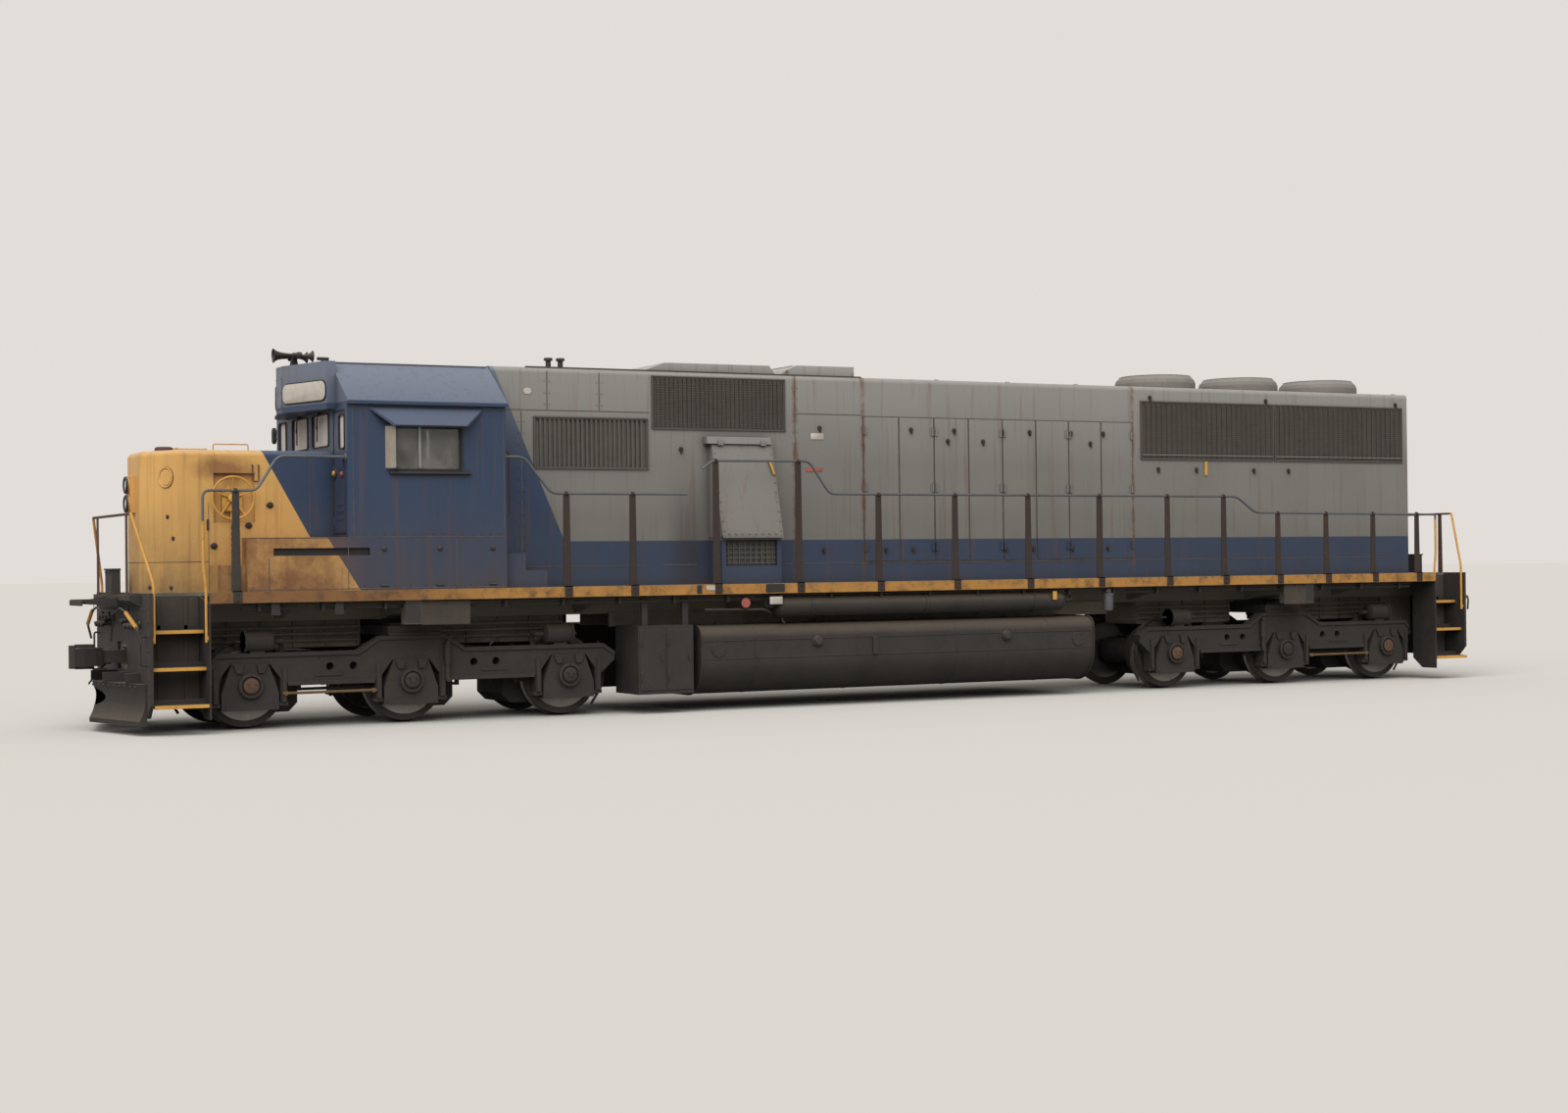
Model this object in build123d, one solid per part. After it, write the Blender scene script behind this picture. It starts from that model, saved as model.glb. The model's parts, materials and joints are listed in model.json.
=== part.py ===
from build123d import *
import os

os.makedirs("parts", exist_ok=True)

# A six-axle road-switcher diesel locomotive: low short hood, cab, long hood.
# +Z is up, the front end points along -X and the left side along -Y. Millimetres.
# Heights in this file are above the rail head. save() lifts each piece by the flange
# depth, so that z = 0 of the finished part is the level of the wheel flange tips.

FLANGE_DEPTH = 28

# Running gear
TRUCK_CENTRE = 6945
AXLE_OUTER = 2070
AXLE_MIDDLE = 47.5
WHEEL_R = 508
BACK_TO_BACK = 1353
RIM_WIDTH = 146
AXLE_R = 100
JOURNAL_R = 82
FRAME_Y = (900, 1060)
BOX_Y = (890, 1070)

# Body levels and widths
DECK_Z = 1645
SILL_Z = 1515
HALF_WIDTH = 1550
HOOD_HALF = 940
HOOD_TOP = 4480
SHEET = 50
END_X = 10260
WELL_X = 9600
WELL_Y = 1050
LEDGE = 170
LEDGE_TOP = 1625

# Short hood and cab
NOSE_TIP_X = -10150
NOSE_CORNER_X = -9800
NOSE_FLAT = 300
NOSE_TOP = 3360
CAB_FRONT = -7930
CAB_REAR = -5890
CAB_FLOOR = 2290
WALL = 60
EAVE_Z = 3920
RIDGE_Y = 900
RIDGE_Z = 4460

# Long hood
HOOD_FRONT = -5860
SPLIT_BLOWER = -3640
SPLIT_ENGINE = -380
SPLIT_RADIATOR = 4230
HOOD_CORNER_X = 9630
HOOD_TIP_X = 9950
FAN_X = (5375, 6995, 8615)
SHROUD_R = 615
FAN_OPENING_R = 570
ROTOR_R = 540
ROTOR_HUB_R = 155
FAN_LEVEL = 4440

# Handrails
RAIL_R = 18
RAIL_Y = -1500

# Couplers
COUPLER_Z = 876
PULLING_FACE = 10846
COUPLER_PIVOT = 9800


def save(name, *shapes):
    lifted = [Pos(0, 0, FLANGE_DEPTH) * shape for shape in shapes]
    whole = lifted[0] if len(lifted) == 1 else Compound(children=lifted)
    export_step(whole, f"parts/{name}.step")


# A box from its (low, high) range along each axis
def block(x, y, z):
    centre = Pos(sum(x) / 2, sum(y) / 2, sum(z) / 2)
    return centre * Box(x[1] - x[0], y[1] - y[0], z[1] - z[0])


# Straight prisms from a flat outline: (y, z) along X, (x, z) along Y, (x, y) along Z
def prism_x(outline, x):
    face = make_face(Polyline(*[(x[0], y, z) for y, z in outline], close=True))
    return extrude(face, amount=x[1] - x[0], dir=(1, 0, 0))


def prism_y(outline, y):
    face = make_face(Polyline(*[(x, y[0], z) for x, z in outline], close=True))
    return extrude(face, amount=y[1] - y[0], dir=(0, 1, 0))


def prism_z(outline, z):
    face = make_face(Polyline(*[(x, y, z[0]) for x, y in outline], close=True))
    return extrude(face, amount=z[1] - z[0], dir=(0, 0, 1))


def cylinder_x(centre, radius, length):
    return Pos(*centre) * Rot(0, 90, 0) * Cylinder(radius, length)


def cylinder_y(centre, radius, length):
    return Pos(*centre) * Rot(90, 0, 0) * Cylinder(radius, length)


def cylinder_z(centre, radius, length):
    return Pos(*centre) * Cylinder(radius, length)


# A rail bent from tube: eight-sided section, mitred where the path turns
def tube(points, radius=RAIL_R):
    path = Polyline(*points)
    start = Plane(origin=path @ 0, z_dir=path % 0)
    return sweep(start * RegularPolygon(radius, 8), path=path, transition=Transition.RIGHT)


def other_side(shape):
    return mirror(shape, about=Plane.XZ)


def other_end(shape):
    return mirror(shape, about=Plane.YZ)


def turned(shape):
    return Rot(0, 0, 180) * shape


def fused(pieces):
    whole = pieces[0]
    for piece in pieces[1:]:
        whole = whole + piece
    return whole


# Wheelset: axle, two wheels and two bearing end caps in one turned outline (radius, y)
def wheelset():
    back = BACK_TO_BACK / 2
    rim = back + RIM_WIDTH
    half = [
        (AXLE_R, back - 30), (150, back - 30), (150, back + 60), (430, back + 40), (430, back),
        (WHEEL_R + FLANGE_DEPTH - 4, back), (WHEEL_R + FLANGE_DEPTH, back + 14),
        (WHEEL_R + 2, back + 40), (WHEEL_R - 3, rim), (430, rim), (430, rim - 75), (150, rim - 45),
        (150, rim + 4), (JOURNAL_R, rim + 40), (JOURNAL_R, 1080), (98, 1080), (98, 1125), (0, 1125),
    ]
    outline = [(r, -y) for r, y in reversed(half)] + half
    return revolve(make_face(Polyline(*outline, close=True)), axis=Axis.Y)


# One side of a truck: cast side frame with an arch over each journal box
def truck_side(axles):
    top = [
        (-2535, 530), (-2535, 820), (-2470, 900), (-720, 900), (-440, 1070), (400, 1070),
        (660, 900), (2560, 900), (2720, 790), (2720, 690), (2540, 530),
    ]
    side = prism_y(top, FRAME_Y)
    for x in axles:
        legs = [(x - 462, 700), (x - 450, 300), (x + 450, 300), (x + 462, 700)]
        side = side + prism_y(legs, FRAME_Y)
    for x in axles:
        arch = [(x - 375, 0), (x - 375, 590), (x - 240, 770), (x + 240, 770), (x + 375, 590), (x + 375, 0)]
        side = side - prism_y(arch, (FRAME_Y[0] - 10, FRAME_Y[1] + 10))
        box = [(x - 350, 215), (x - 350, 420), (x - 225, 770), (x + 225, 770), (x + 350, 420), (x + 350, 215)]
        side = side + prism_y(box, BOX_Y) + cylinder_y((x, 1085, WHEEL_R), 145, 30)
        side = side - cylinder_y((x, 1000, WHEEL_R), JOURNAL_R + 6, 400)
        side = side - cylinder_y((x, 1092, WHEEL_R), 108, 24)
    for x in (-1080, -785, 785, 1080):
        side = side - cylinder_y((x, 1000, 715), 50, 400)
    for x in (-1970, 1970):
        side = side + cylinder_x((x, 990, 1035), 125, 330) + block((x - 90, x + 90), (920, 1050), (890, 960))
    return side


# Traction motor on one axle, with its axle tube and gear case; reach is +1 or -1 along X
def traction_motor(axle, reach, nose_end):
    body = [(140, 150), (610, 150), (720, 260), (720, 640), (600, 730), (140, 730)]
    motor = prism_y([(axle + reach * x, z) for x, z in body], (-560, 370))
    motor = motor + cylinder_y((axle, -95, WHEEL_R), 195, 930)
    motor = motor + cylinder_y((axle, 465, WHEEL_R), 410, 190)
    nose = sorted((axle + reach * 720, nose_end))
    motor = motor + block(nose, (-150, 150), (600, 720))
    return motor - cylinder_y((axle, 0, WHEEL_R), AXLE_R + 12, 1300)


# Truck as one fused frame: sides, transoms, bolster with centre plate, motors, brake shoes.
# The outer axle of the front truck is at -X; the rear truck is the same piece turned round.
def truck():
    axles = (-AXLE_OUTER, -AXLE_MIDDLE, AXLE_OUTER)
    side = truck_side(axles)
    frame = side + other_side(side)
    inner = FRAME_Y[0]
    frame = frame + block((-1250, -950), (-inner, inner), (560, 880))
    frame = frame + block((900, 1200), (-inner, inner), (560, 880))
    frame = frame + block((-340, 340), (-FRAME_Y[1], FRAME_Y[1]), (1070, 1190))
    frame = frame + cylinder_z((0, 0, 1218), 380, 64)
    frame = frame - cylinder_z((0, 0, 1160), 157, 240)
    for axle, reach, nose_end in ((axles[0], 1, -1250), (axles[1], 1, 900), (axles[2], -1, 1200)):
        frame = frame + traction_motor(axle, reach, nose_end)
    for axle, reach in ((axles[0], 1), (axles[1], -1), (axles[2], -1)):
        for y in (-1, 1):
            shoe_x = sorted((axle + reach * 505, axle + reach * 590))
            shoe = block(shoe_x, sorted((y * 730, y * 815)), (430, 640))
            shoe = shoe - cylinder_y((axle, y * 770, WHEEL_R), WHEEL_R + 14, 200)
            arm_x = sorted((axle + reach * 545, axle + reach * 590))
            arm = block(arm_x, sorted((y * 750, y * 905)), (560, 700))
            frame = frame + shoe + arm
    return frame


# Underframe: deck, side sills, hollow centre sill, crossbearers, bolsters, draft pockets
def underframe():
    plan = [(WELL_X, HALF_WIDTH), (WELL_X, WELL_Y), (END_X, WELL_Y)]
    plan = plan + [(x, -y) for x, y in reversed(plan)]
    plan = plan + [(-x, y) for x, y in reversed(plan)]
    frame = prism_z(plan, (DECK_Z - 40, DECK_Z))
    for y in (-1, 1):
        frame = frame + block((-WELL_X, WELL_X), sorted((y * 1495, y * HALF_WIDTH)), (SILL_Z, DECK_Z - 40))
    sill = block((-END_X, END_X), (-450, 450), (1270, DECK_Z - 40))
    sill = sill - block((-END_X + 900, END_X - 900), (-410, 410), (1300, DECK_Z - 60))
    frame = frame + sill
    bearer = [(-1500, 1605), (-1500, 1540), (-450, 1300), (450, 1300), (1500, 1540), (1500, 1605)]
    for x in (-8500, -4500, -2250, 0, 2250, 4500, 8500):
        frame = frame + prism_x(bearer, (x - 50, x + 50))
    bolster = [
        (-1500, 1605), (-1500, 1220), (-1290, 1220), (-1270, 1400), (-450, 1256),
        (450, 1256), (1270, 1400), (1290, 1220), (1500, 1220), (1500, 1605),
    ]
    for end in (-1, 1):
        x = end * TRUCK_CENTRE
        frame = frame + prism_x(bolster, (x - 240, x + 240))
        frame = frame + cylinder_z((x, 0, 1190), 150, 160)
        pocket = block(sorted((end * WELL_X, end * END_X)), (-290, 290), (640, 1270))
        cavity = block(sorted((end * (WELL_X + 30), end * (END_X + 10))), (-245, 245), (770, 985))
        frame = frame + (pocket - cavity) + cylinder_z((end * COUPLER_PIVOT, 0, 877), 44, 230)
    return frame


# Step well: inner side plate with three staggered treads, for the left side of the front end
def step_well():
    plate = [
        (-HALF_WIDTH, 150), (-HALF_WIDTH, DECK_Z - 130), (-WELL_Y, DECK_Z - 40), (-WELL_Y, 300), (-1250, 150),
    ]
    well = prism_x(plate, (-WELL_X - 20, -WELL_X))
    for height, y in ((330, -HALF_WIDTH), (765, -1430), (1200, -1310)):
        tread = block((-END_X, -WELL_X - 20), (y, y + 250), (height - 30, height))
        toe = block((-END_X, -WELL_X - 20), (y + 235, y + 250), (height, height + 60))
        well = well + tread + toe
    return well


# Hinged crossing plate at the middle of the ledge, let down level between two side arms
def drop_step(edge):
    tip = edge - 430
    plate = block((tip, edge), (-360, 360), (1540, 1565))
    lip = block((tip, tip + 12), (-360, 360), (1500, 1540))
    arm = [(edge, 1490), (tip + 60, 1520), (tip + 60, 1545), (edge, 1600)]
    step = plate + lip
    for y in (-360, 340):
        step = step + prism_y(arm, (y, y + 20))
    return step


# End plate with the coupler window, anticlimber ledge and receptacle box
def pilot(bottom):
    chamfer = 150
    plate = [
        (-1500, DECK_Z), (-1500, bottom + chamfer), (-1500 + chamfer, bottom),
        (1500 - chamfer, bottom), (1500, bottom + chamfer), (1500, DECK_Z),
    ]
    end = prism_x(plate, (-END_X - 40, -END_X))
    end = end - block((-END_X - 60, -END_X + 20), (-260, 260), (720, 1050))
    edge = -END_X - LEDGE
    ledge = [(-END_X - 40, 1480), (edge, 1560), (edge, LEDGE_TOP), (-END_X - 40, LEDGE_TOP)]
    end = end + prism_y(ledge, (-1040, 1040))
    end = end + block((-END_X - 150, -END_X - 40), (60, 420), (LEDGE_TOP, 1930))
    return end + drop_step(edge + 10)


# V-shaped snow plough with a hollowed mouldboard face
PLOUGH_SWEEP = 13.1


def plough():
    back_x, wing_x, half = -END_X - 40, -END_X - 130, 1330
    plan = [(back_x, -half), (wing_x, -half), (-10700, 0), (wing_x, half), (back_x, half)]
    blade = prism_z(plan, (90, 580))
    rear = [(back_x, 90 - half), (-10640, 0), (back_x, half - 90)]
    blade = blade - prism_z(rear, (80, 540))
    for y in (-1, 1):
        hollow = Rot(0, 0, y * -PLOUGH_SWEEP) * Rot(90, 0, 0) * Cylinder(500, 1900)
        blade = blade - Pos(-10964, y * 763, 400) * hollow
    return blade


# Coupler head and shank; the plan is (distance ahead of the pulling face, y)
def coupler_plan(points):
    return [(-PULLING_FACE - ahead, y) for ahead, y in points]


KNUCKLE_PIN = (-60, 130)


def coupler():
    head = [
        (-290, -105), (-290, 105), (-215, 135), (-160, 135), (-140, 60), (-150, 0), (-130, -60),
        (-60, -110), (50, -150), (95, -160), (100, -200), (60, -215), (-60, -195), (-200, -150),
    ]
    body = prism_z(coupler_plan(head), (COUPLER_Z - 110, COUPLER_Z + 110))
    lug = [(-215, 60), (-215, 135), (-100, 185), (-60, 190), (-5, 150), (-5, 110), (-60, 70)]
    for low in (COUPLER_Z - 150, COUPLER_Z + 104):
        body = body + prism_z(coupler_plan(lug), (low, low + 46))
    spine = block((-PULLING_FACE + 160, -PULLING_FACE + 215), (20, 135), (COUPLER_Z - 150, COUPLER_Z + 150))
    body = body + spine
    shank = block((-PULLING_FACE + 290, -COUPLER_PIVOT), (-65, 65), (COUPLER_Z - 75, COUPLER_Z + 75))
    body = body + shank + cylinder_z((-COUPLER_PIVOT, 0, COUPLER_Z), 95, 150)
    return body - cylinder_z((-COUPLER_PIVOT, 0, COUPLER_Z), 52, 200)


def knuckle():
    nose = [
        (-88, 100), (-88, 150), (-60, 184), (15, 188), (62, 145), (78, 70), (62, 14), (12, 6),
        (0, 18), (0, 82), (-28, 98), (-60, 82),
    ]
    jaw = prism_z(coupler_plan(nose), (COUPLER_Z - 97, COUPLER_Z + 97))
    face = [(15, 188), (62, 145), (78, 70), (62, 14), (12, 6), (6, 18), (6, 150)]
    return jaw + prism_z(coupler_plan(face), (COUPLER_Z - 140, COUPLER_Z + 140))


# Short hood with a faceted front, twin headlight housing and the hand brake recess
def short_hood():
    plan = [
        (CAB_FRONT, -HOOD_HALF), (NOSE_CORNER_X, -HOOD_HALF), (NOSE_TIP_X, -NOSE_FLAT),
        (NOSE_TIP_X, NOSE_FLAT), (NOSE_CORNER_X, HOOD_HALF), (CAB_FRONT, HOOD_HALF),
    ]
    nose = prism_z(plan, (DECK_Z, NOSE_TOP))
    rim = [e for e in nose.edges() if e.center().Z > NOSE_TOP - 1 and e.center().X < CAB_FRONT - 10]
    nose = fillet(rim, 70)
    nose = nose - block((-9400, -8900), (-HOOD_HALF - 10, -HOOD_HALF + 60), (2480, 3080))
    nose = nose + block((NOSE_TIP_X - 60, NOSE_TIP_X), (-130, 130), (2620, 3070))
    for z in (2730, 2960):
        nose = nose + cylinder_x((NOSE_TIP_X - 66, 0, z), 100, 24)
    return nose


def handbrake_wheel():
    centre = (-9150, -HOOD_HALF - 70, 2780)
    ring = Cylinder(270, 26) - Cylinder(238, 40)
    wheel = ring + Cylinder(48, 60)
    for i in range(5):
        wheel = wheel + Rot(0, 0, i * 72) * Pos(145, 0, 0) * Box(200, 30, 14)
    shaft = cylinder_y((centre[0], -HOOD_HALF - 5, centre[2]), 24, 130)
    return Pos(*centre) * Rot(90, 0, 0) * wheel + shaft


BATTERY_VENT_X = (-8845, -7660)
BATTERY_VENT_Z = (2070, 2160)


# Raised base under the cab with the battery boxes beside the short hood and the walkway steps
def sub_base():
    base = block((CAB_FRONT, CAB_REAR), (-HALF_WIDTH, HALF_WIDTH), (DECK_Z, CAB_FLOOR))
    for y in (-1, 1):
        box_y = sorted((y * HOOD_HALF, y * HALF_WIDTH))
        step_y = sorted((y * HOOD_HALF, y * 1450))
        base = base + block((-9160, CAB_FRONT), box_y, (DECK_Z, CAB_FLOOR))
        slot_y = sorted((y * (HALF_WIDTH - 60), y * (HALF_WIDTH + 10)))
        base = base - block(BATTERY_VENT_X, slot_y, BATTERY_VENT_Z)
        base = base + block((-9450, -9160), step_y, (DECK_Z, 1965))
        base = base + block((CAB_REAR, CAB_REAR + 290), step_y, (DECK_Z, 2075))
        base = base + block((CAB_REAR + 290, CAB_REAR + 580), step_y, (DECK_Z, 1860))
    return base


# Cab walls with their windows cut; the roof's underside gives the end walls their top
ROOF_OUTER = [(-1590, 3950), (-RIDGE_Y, RIDGE_Z), (RIDGE_Y, RIDGE_Z), (1590, 3950)]
ROOF_INNER = [(-1490, 3930), (-870, 4410), (870, 4410), (1490, 3930)]
DOOR_Y = (978, 1462)
DOOR_Z = (2328, 3847)
DOOR_PANE_Y = (1215, 1425)
DOOR_PANE_Z = (3380, 3780)
SIDE_PANE_X = (-7310, -6490)
SIDE_PANE_Z = (3125, 3800)
FRONT_PANES = ((-790, -110), (110, 790), (1100, 1420))
FRONT_PANE_Z = (3440, 3830)
REAR_PANE = ((-1420, -1060), (3400, 3800))


def end_wall(x):
    outline = [(-1490, CAB_FLOOR)] + ROOF_INNER + [(1490, CAB_FLOOR)]
    return prism_x(outline, x)


def cab_front_wall():
    x = (CAB_FRONT, CAB_FRONT + WALL)
    hole_x = (x[0] - 10, x[1] + 10)
    wall = end_wall(x)
    wall = wall - block(hole_x, (-DOOR_Y[1], -DOOR_Y[0]), DOOR_Z)
    for pane in FRONT_PANES:
        wall = wall - block(hole_x, pane, FRONT_PANE_Z)
    return wall


def cab_rear_wall():
    x = (CAB_REAR - WALL, CAB_REAR)
    hole_x = (x[0] - 10, x[1] + 10)
    wall = end_wall(x)
    wall = wall - block(hole_x, DOOR_Y, DOOR_Z)
    return wall - block(hole_x, *REAR_PANE)


def cab_side_wall():
    wall = block((CAB_FRONT, CAB_REAR), (-HALF_WIDTH, -HALF_WIDTH + WALL), (CAB_FLOOR, EAVE_Z))
    return wall - block(SIDE_PANE_X, (-HALF_WIDTH - 10, -HALF_WIDTH + WALL + 10), SIDE_PANE_Z)


def cab_roof():
    outer = [(-1590, EAVE_Z)] + ROOF_OUTER + [(1590, EAVE_Z)]
    inner = [(1490, EAVE_Z)] + ROOF_INNER[::-1] + [(-1490, EAVE_Z)]
    return prism_x(outer + inner, (CAB_FRONT, HOOD_FRONT - 10))


def cab_door():
    gap = 7
    leaf_y = (-DOOR_Y[1] + gap, -DOOR_Y[0] - gap)
    leaf = block((CAB_FRONT + 5, CAB_FRONT + 45), leaf_y, (DOOR_Z[0] + gap, DOOR_Z[1] - gap))
    pane_y = (-DOOR_PANE_Y[1], -DOOR_PANE_Y[0])
    leaf = leaf - block((CAB_FRONT, CAB_FRONT + 50), pane_y, DOOR_PANE_Z)
    handle = block((CAB_FRONT - 30, CAB_FRONT + 5), (-1440, -1415), (3100, 3240))
    return leaf + handle


def cab_windows():
    middle = CAB_FRONT + WALL / 2
    panes = [block((middle - 5, middle + 5), pane, FRONT_PANE_Z) for pane in FRONT_PANES]
    rear = CAB_REAR - WALL / 2
    panes.append(block((rear - 5, rear + 5), *REAR_PANE))
    side = HALF_WIDTH - WALL / 2
    for y in (-side, side):
        panes.append(block(SIDE_PANE_X, (y - 5, y + 5), SIDE_PANE_Z))
    return panes


# Angled housing over the front windows that carries the two blank number boards
def number_board_housing():
    plan = [
        (CAB_FRONT, -1110), (-8045, -1110), (-8320, -150), (-8320, 150), (-8045, 1110), (CAB_FRONT, 1110),
    ]
    return prism_z(plan, (3870, RIDGE_Z))


# Sloping awning over each side window, narrower at its outer edge, with the upright wind
# wing set at a slant ahead of the panes
def awning():
    wall_y, edge_y = -HALF_WIDTH, -HALF_WIDTH - 190
    slope = [(wall_y, 3885), (wall_y, 3850), (edge_y + 15, 3630), (edge_y, 3650)]
    plan = [(-7650, wall_y), (-7370, edge_y), (-6470, edge_y), (-6180, wall_y)]
    visor = prism_x(slope, (-7650, -6180)) & prism_z(plan, (3600, 3900))
    slant = [(-7450, wall_y), (-7353, wall_y - 122), (-7341, wall_y - 112), (-7430, wall_y)]
    return [visor, prism_z(slant, (3115, 3655))]


def crew_seat(x, y):
    seat = block((x - 230, x + 230), (y - 230, y + 230), (2720, 2830))
    seat = seat + block((x + 150, x + 250), (y - 220, y + 220), (2830, 3350))
    return seat + cylinder_z((x, y, 2505), 70, 430) + cylinder_z((x, y, 2305), 190, 30)


def control_stand():
    outline = [(-7560, CAB_FLOOR), (-7560, 3250), (-7420, 3300), (-7230, 3050), (-7230, CAB_FLOOR)]
    return prism_y(outline, (330, 850))


# Long hood: a folded sheet shell with open base, cut for its grilles and roof openings.
# Each section has a bulkhead at its front; the engine room runs on through the blower section.
def hood_shell(x, bulkhead=True):
    shell = block(x, (-HOOD_HALF, HOOD_HALF), (DECK_Z, HOOD_TOP))
    edges = [e for e in shell.edges() if e.center().Z > HOOD_TOP - 1 and abs(e.center().Y) > HOOD_HALF - 1]
    shell = fillet(edges, 70)
    inside_x = (x[0] + (SHEET if bulkhead else -10), x[1] + 10)
    inside = block(inside_x, (SHEET - HOOD_HALF, HOOD_HALF - SHEET), (DECK_Z - 10, HOOD_TOP - SHEET))
    return shell - inside


def through_sides(x, z):
    return block(x, (-HOOD_HALF - 20, HOOD_HALF + 20), z)


INTAKE_X = (-5260, -3670)
INTAKE_Z = (3180, 3830)
DYNAMIC_X = (-3585, -1615)
DYNAMIC_Z = (3720, 4402)
RADIATOR_X = ((4395, 6885), (6935, 9505))
RADIATOR_Z = (3405, 4250)


def hood_intake_section():
    return hood_shell((HOOD_FRONT, SPLIT_BLOWER)) - through_sides(INTAKE_X, INTAKE_Z)


def hood_blower_section():
    return hood_shell((SPLIT_BLOWER, SPLIT_ENGINE)) - through_sides(DYNAMIC_X, DYNAMIC_Z)


def hood_engine_section():
    shell = hood_shell((SPLIT_ENGINE, SPLIT_RADIATOR), bulkhead=False)
    count = 8
    pitch = (SPLIT_RADIATOR - SPLIT_ENGINE) / count
    for i in range(count):
        x = SPLIT_ENGINE + i * pitch
        door = block((x + 12, x + pitch - 12), (-HOOD_HALF - 12, -HOOD_HALF), (1930, 3930))
        shell = shell + door + other_side(door)
    return shell


def hood_radiator_section():
    shell = hood_shell((SPLIT_RADIATOR, HOOD_TIP_X + SHEET))
    plan = [
        (SPLIT_RADIATOR, -HOOD_HALF), (HOOD_CORNER_X, -HOOD_HALF), (HOOD_TIP_X, -300),
        (HOOD_TIP_X, 300), (HOOD_CORNER_X, HOOD_HALF), (SPLIT_RADIATOR, HOOD_HALF),
    ]
    shell = shell & prism_z(plan, (DECK_Z, HOOD_TOP))
    tail = [(9560, -HOOD_HALF + 40), (HOOD_CORNER_X - 20, -HOOD_HALF + 40), (HOOD_TIP_X, -320),
            (HOOD_TIP_X, 320), (HOOD_CORNER_X - 20, HOOD_HALF - 40), (9560, HOOD_HALF - 40)]
    shell = shell + prism_z(tail, (DECK_Z, HOOD_TOP - 60))
    for x in RADIATOR_X:
        shell = shell - through_sides(x, RADIATOR_Z)
    for x in FAN_X:
        shell = shell - cylinder_z((x, 0, HOOD_TOP), FAN_OPENING_R, 200)
    shell = shell + block((HOOD_TIP_X, HOOD_TIP_X + 50), (-260, 260), (4080, 4320))
    for y in (-115, 115):
        shell = shell + cylinder_x((HOOD_TIP_X + 56, y, 4200), 100, 24)
    return shell


# Grille of upright bars in a frame, seated in its opening on the left side
def grille(x, z, bars, bar_width, depth=58):
    y = (-HOOD_HALF - 8, -HOOD_HALF - 8 + depth)
    rim = 16
    frame = block(x, y, z) - block((x[0] + rim, x[1] - rim), (y[0] - 5, y[1] + 5), (z[0] + rim, z[1] - rim))
    pitch = (x[1] - x[0] - 2 * rim) / bars
    for i in range(1, bars):
        middle = x[0] + rim + i * pitch
        bar = block((middle - bar_width / 2, middle + bar_width / 2), y, (z[0] + rim - 5, z[1] - rim + 5))
        frame = frame + bar
    return frame


def roof_hatches():
    outline = [(-3650, HOOD_TOP), (-3320, 4610), (-1740, 4616), (-1635, HOOD_TOP)]
    dynamic = prism_y(outline, (-760, 760)) - cylinder_z((-2530, 0, 4640), 560, 140)
    grid = fused([block((-3110, -1950), (y - 12, y + 12), (4565, 4600)) for y in range(-450, 451, 150)])
    dynamic = dynamic + grid
    exhaust = prism_y([(-1610, HOOD_TOP), (-1295, 4636), (-385, 4640), (-385, HOOD_TOP)], (-720, 720))
    stack = block((-1120, -560), (-260, 260), (4560, 4665)) - block((-1090, -590), (-230, 230), (4600, 4680))
    exhaust = exhaust - block((-1120, -560), (-260, 260), (4560, 4700)) + stack
    return [dynamic, exhaust]


# Traction-motor blower duct on the left walkway, leaning out towards its foot
def blower_duct():
    outline = [(-HOOD_HALF, 3600), (-1030, 3600), (-1360, 2270), (-HOOD_HALF, 2270)]
    duct = prism_x(outline, (-2775, -1865))
    lip = prism_x([(-HOOD_HALF, 3615), (-1060, 3615), (-1085, 3520), (-HOOD_HALF, 3520)], (-2850, -1885))
    foot = block((-2765, -1870), (-1300, -HOOD_HALF), (DECK_Z, 2270))
    foot = foot - block((-2700, -1935), (-1310, -1240), (1885, 2225))
    return duct + lip + foot


# Fan shrouds on the roof: a turned ring that draws in at the top, over it a spoked guard
# with a dished centre plate
SHROUD_OUTLINE = [
    (FAN_OPENING_R, HOOD_TOP), (SHROUD_R, HOOD_TOP), (SHROUD_R, 4600), (SHROUD_R - 18, 4652),
    (SHROUD_R - 55, 4690), (FAN_OPENING_R - 30, 4706), (FAN_OPENING_R - 30, 4682), (FAN_OPENING_R, 4650),
]
GUARD_PLATE = [(0, 4682), (190, 4682), (190, 4700), (120, 4720), (0, 4728)]
GUARD_Z = 4694


def fan_shroud(x):
    shroud = revolve(make_face(Polyline(*[(r, 0, z) for r, z in SHROUD_OUTLINE], close=True)), axis=Axis.Z)
    plate = revolve(make_face(Polyline(*[(r, 0, z) for r, z in GUARD_PLATE], close=True)), axis=Axis.Z)
    shroud = shroud + plate
    for i in range(8):
        shroud = shroud + Rot(0, 0, i * 45) * Pos(362, 0, GUARD_Z) * Box(380, 18, 20)
    hoop = Cylinder(375, 20) - Cylinder(357, 40)
    return Pos(x, 0, 0) * (shroud + Pos(0, 0, GUARD_Z) * hoop)


def fan_motor(x):
    beam = block((x - 60, x + 60), (SHEET - HOOD_HALF, HOOD_HALF - SHEET), (4000, 4100))
    return beam + cylinder_z((x, 0, 4210), 150, 220)


def fan_rotor(x):
    rotor = Cylinder(ROTOR_HUB_R, 120)
    root, tip = ROTOR_HUB_R - 20, ROTOR_R
    for i in range(8):
        blade = Pos((root + tip) / 2, 0, 0) * Rot(28, 0, 0) * Box(tip - root - 12, 190, 10)
        rotor = rotor + Rot(0, 0, i * 45) * blade
    return Pos(x, 0, FAN_LEVEL) * rotor


def engine_block():
    outline = [(-700, DECK_Z), (-700, 2500), (-450, 3500), (450, 3500), (700, 2500), (700, DECK_Z)]
    return prism_x(outline, (-1900, 4100))


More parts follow.
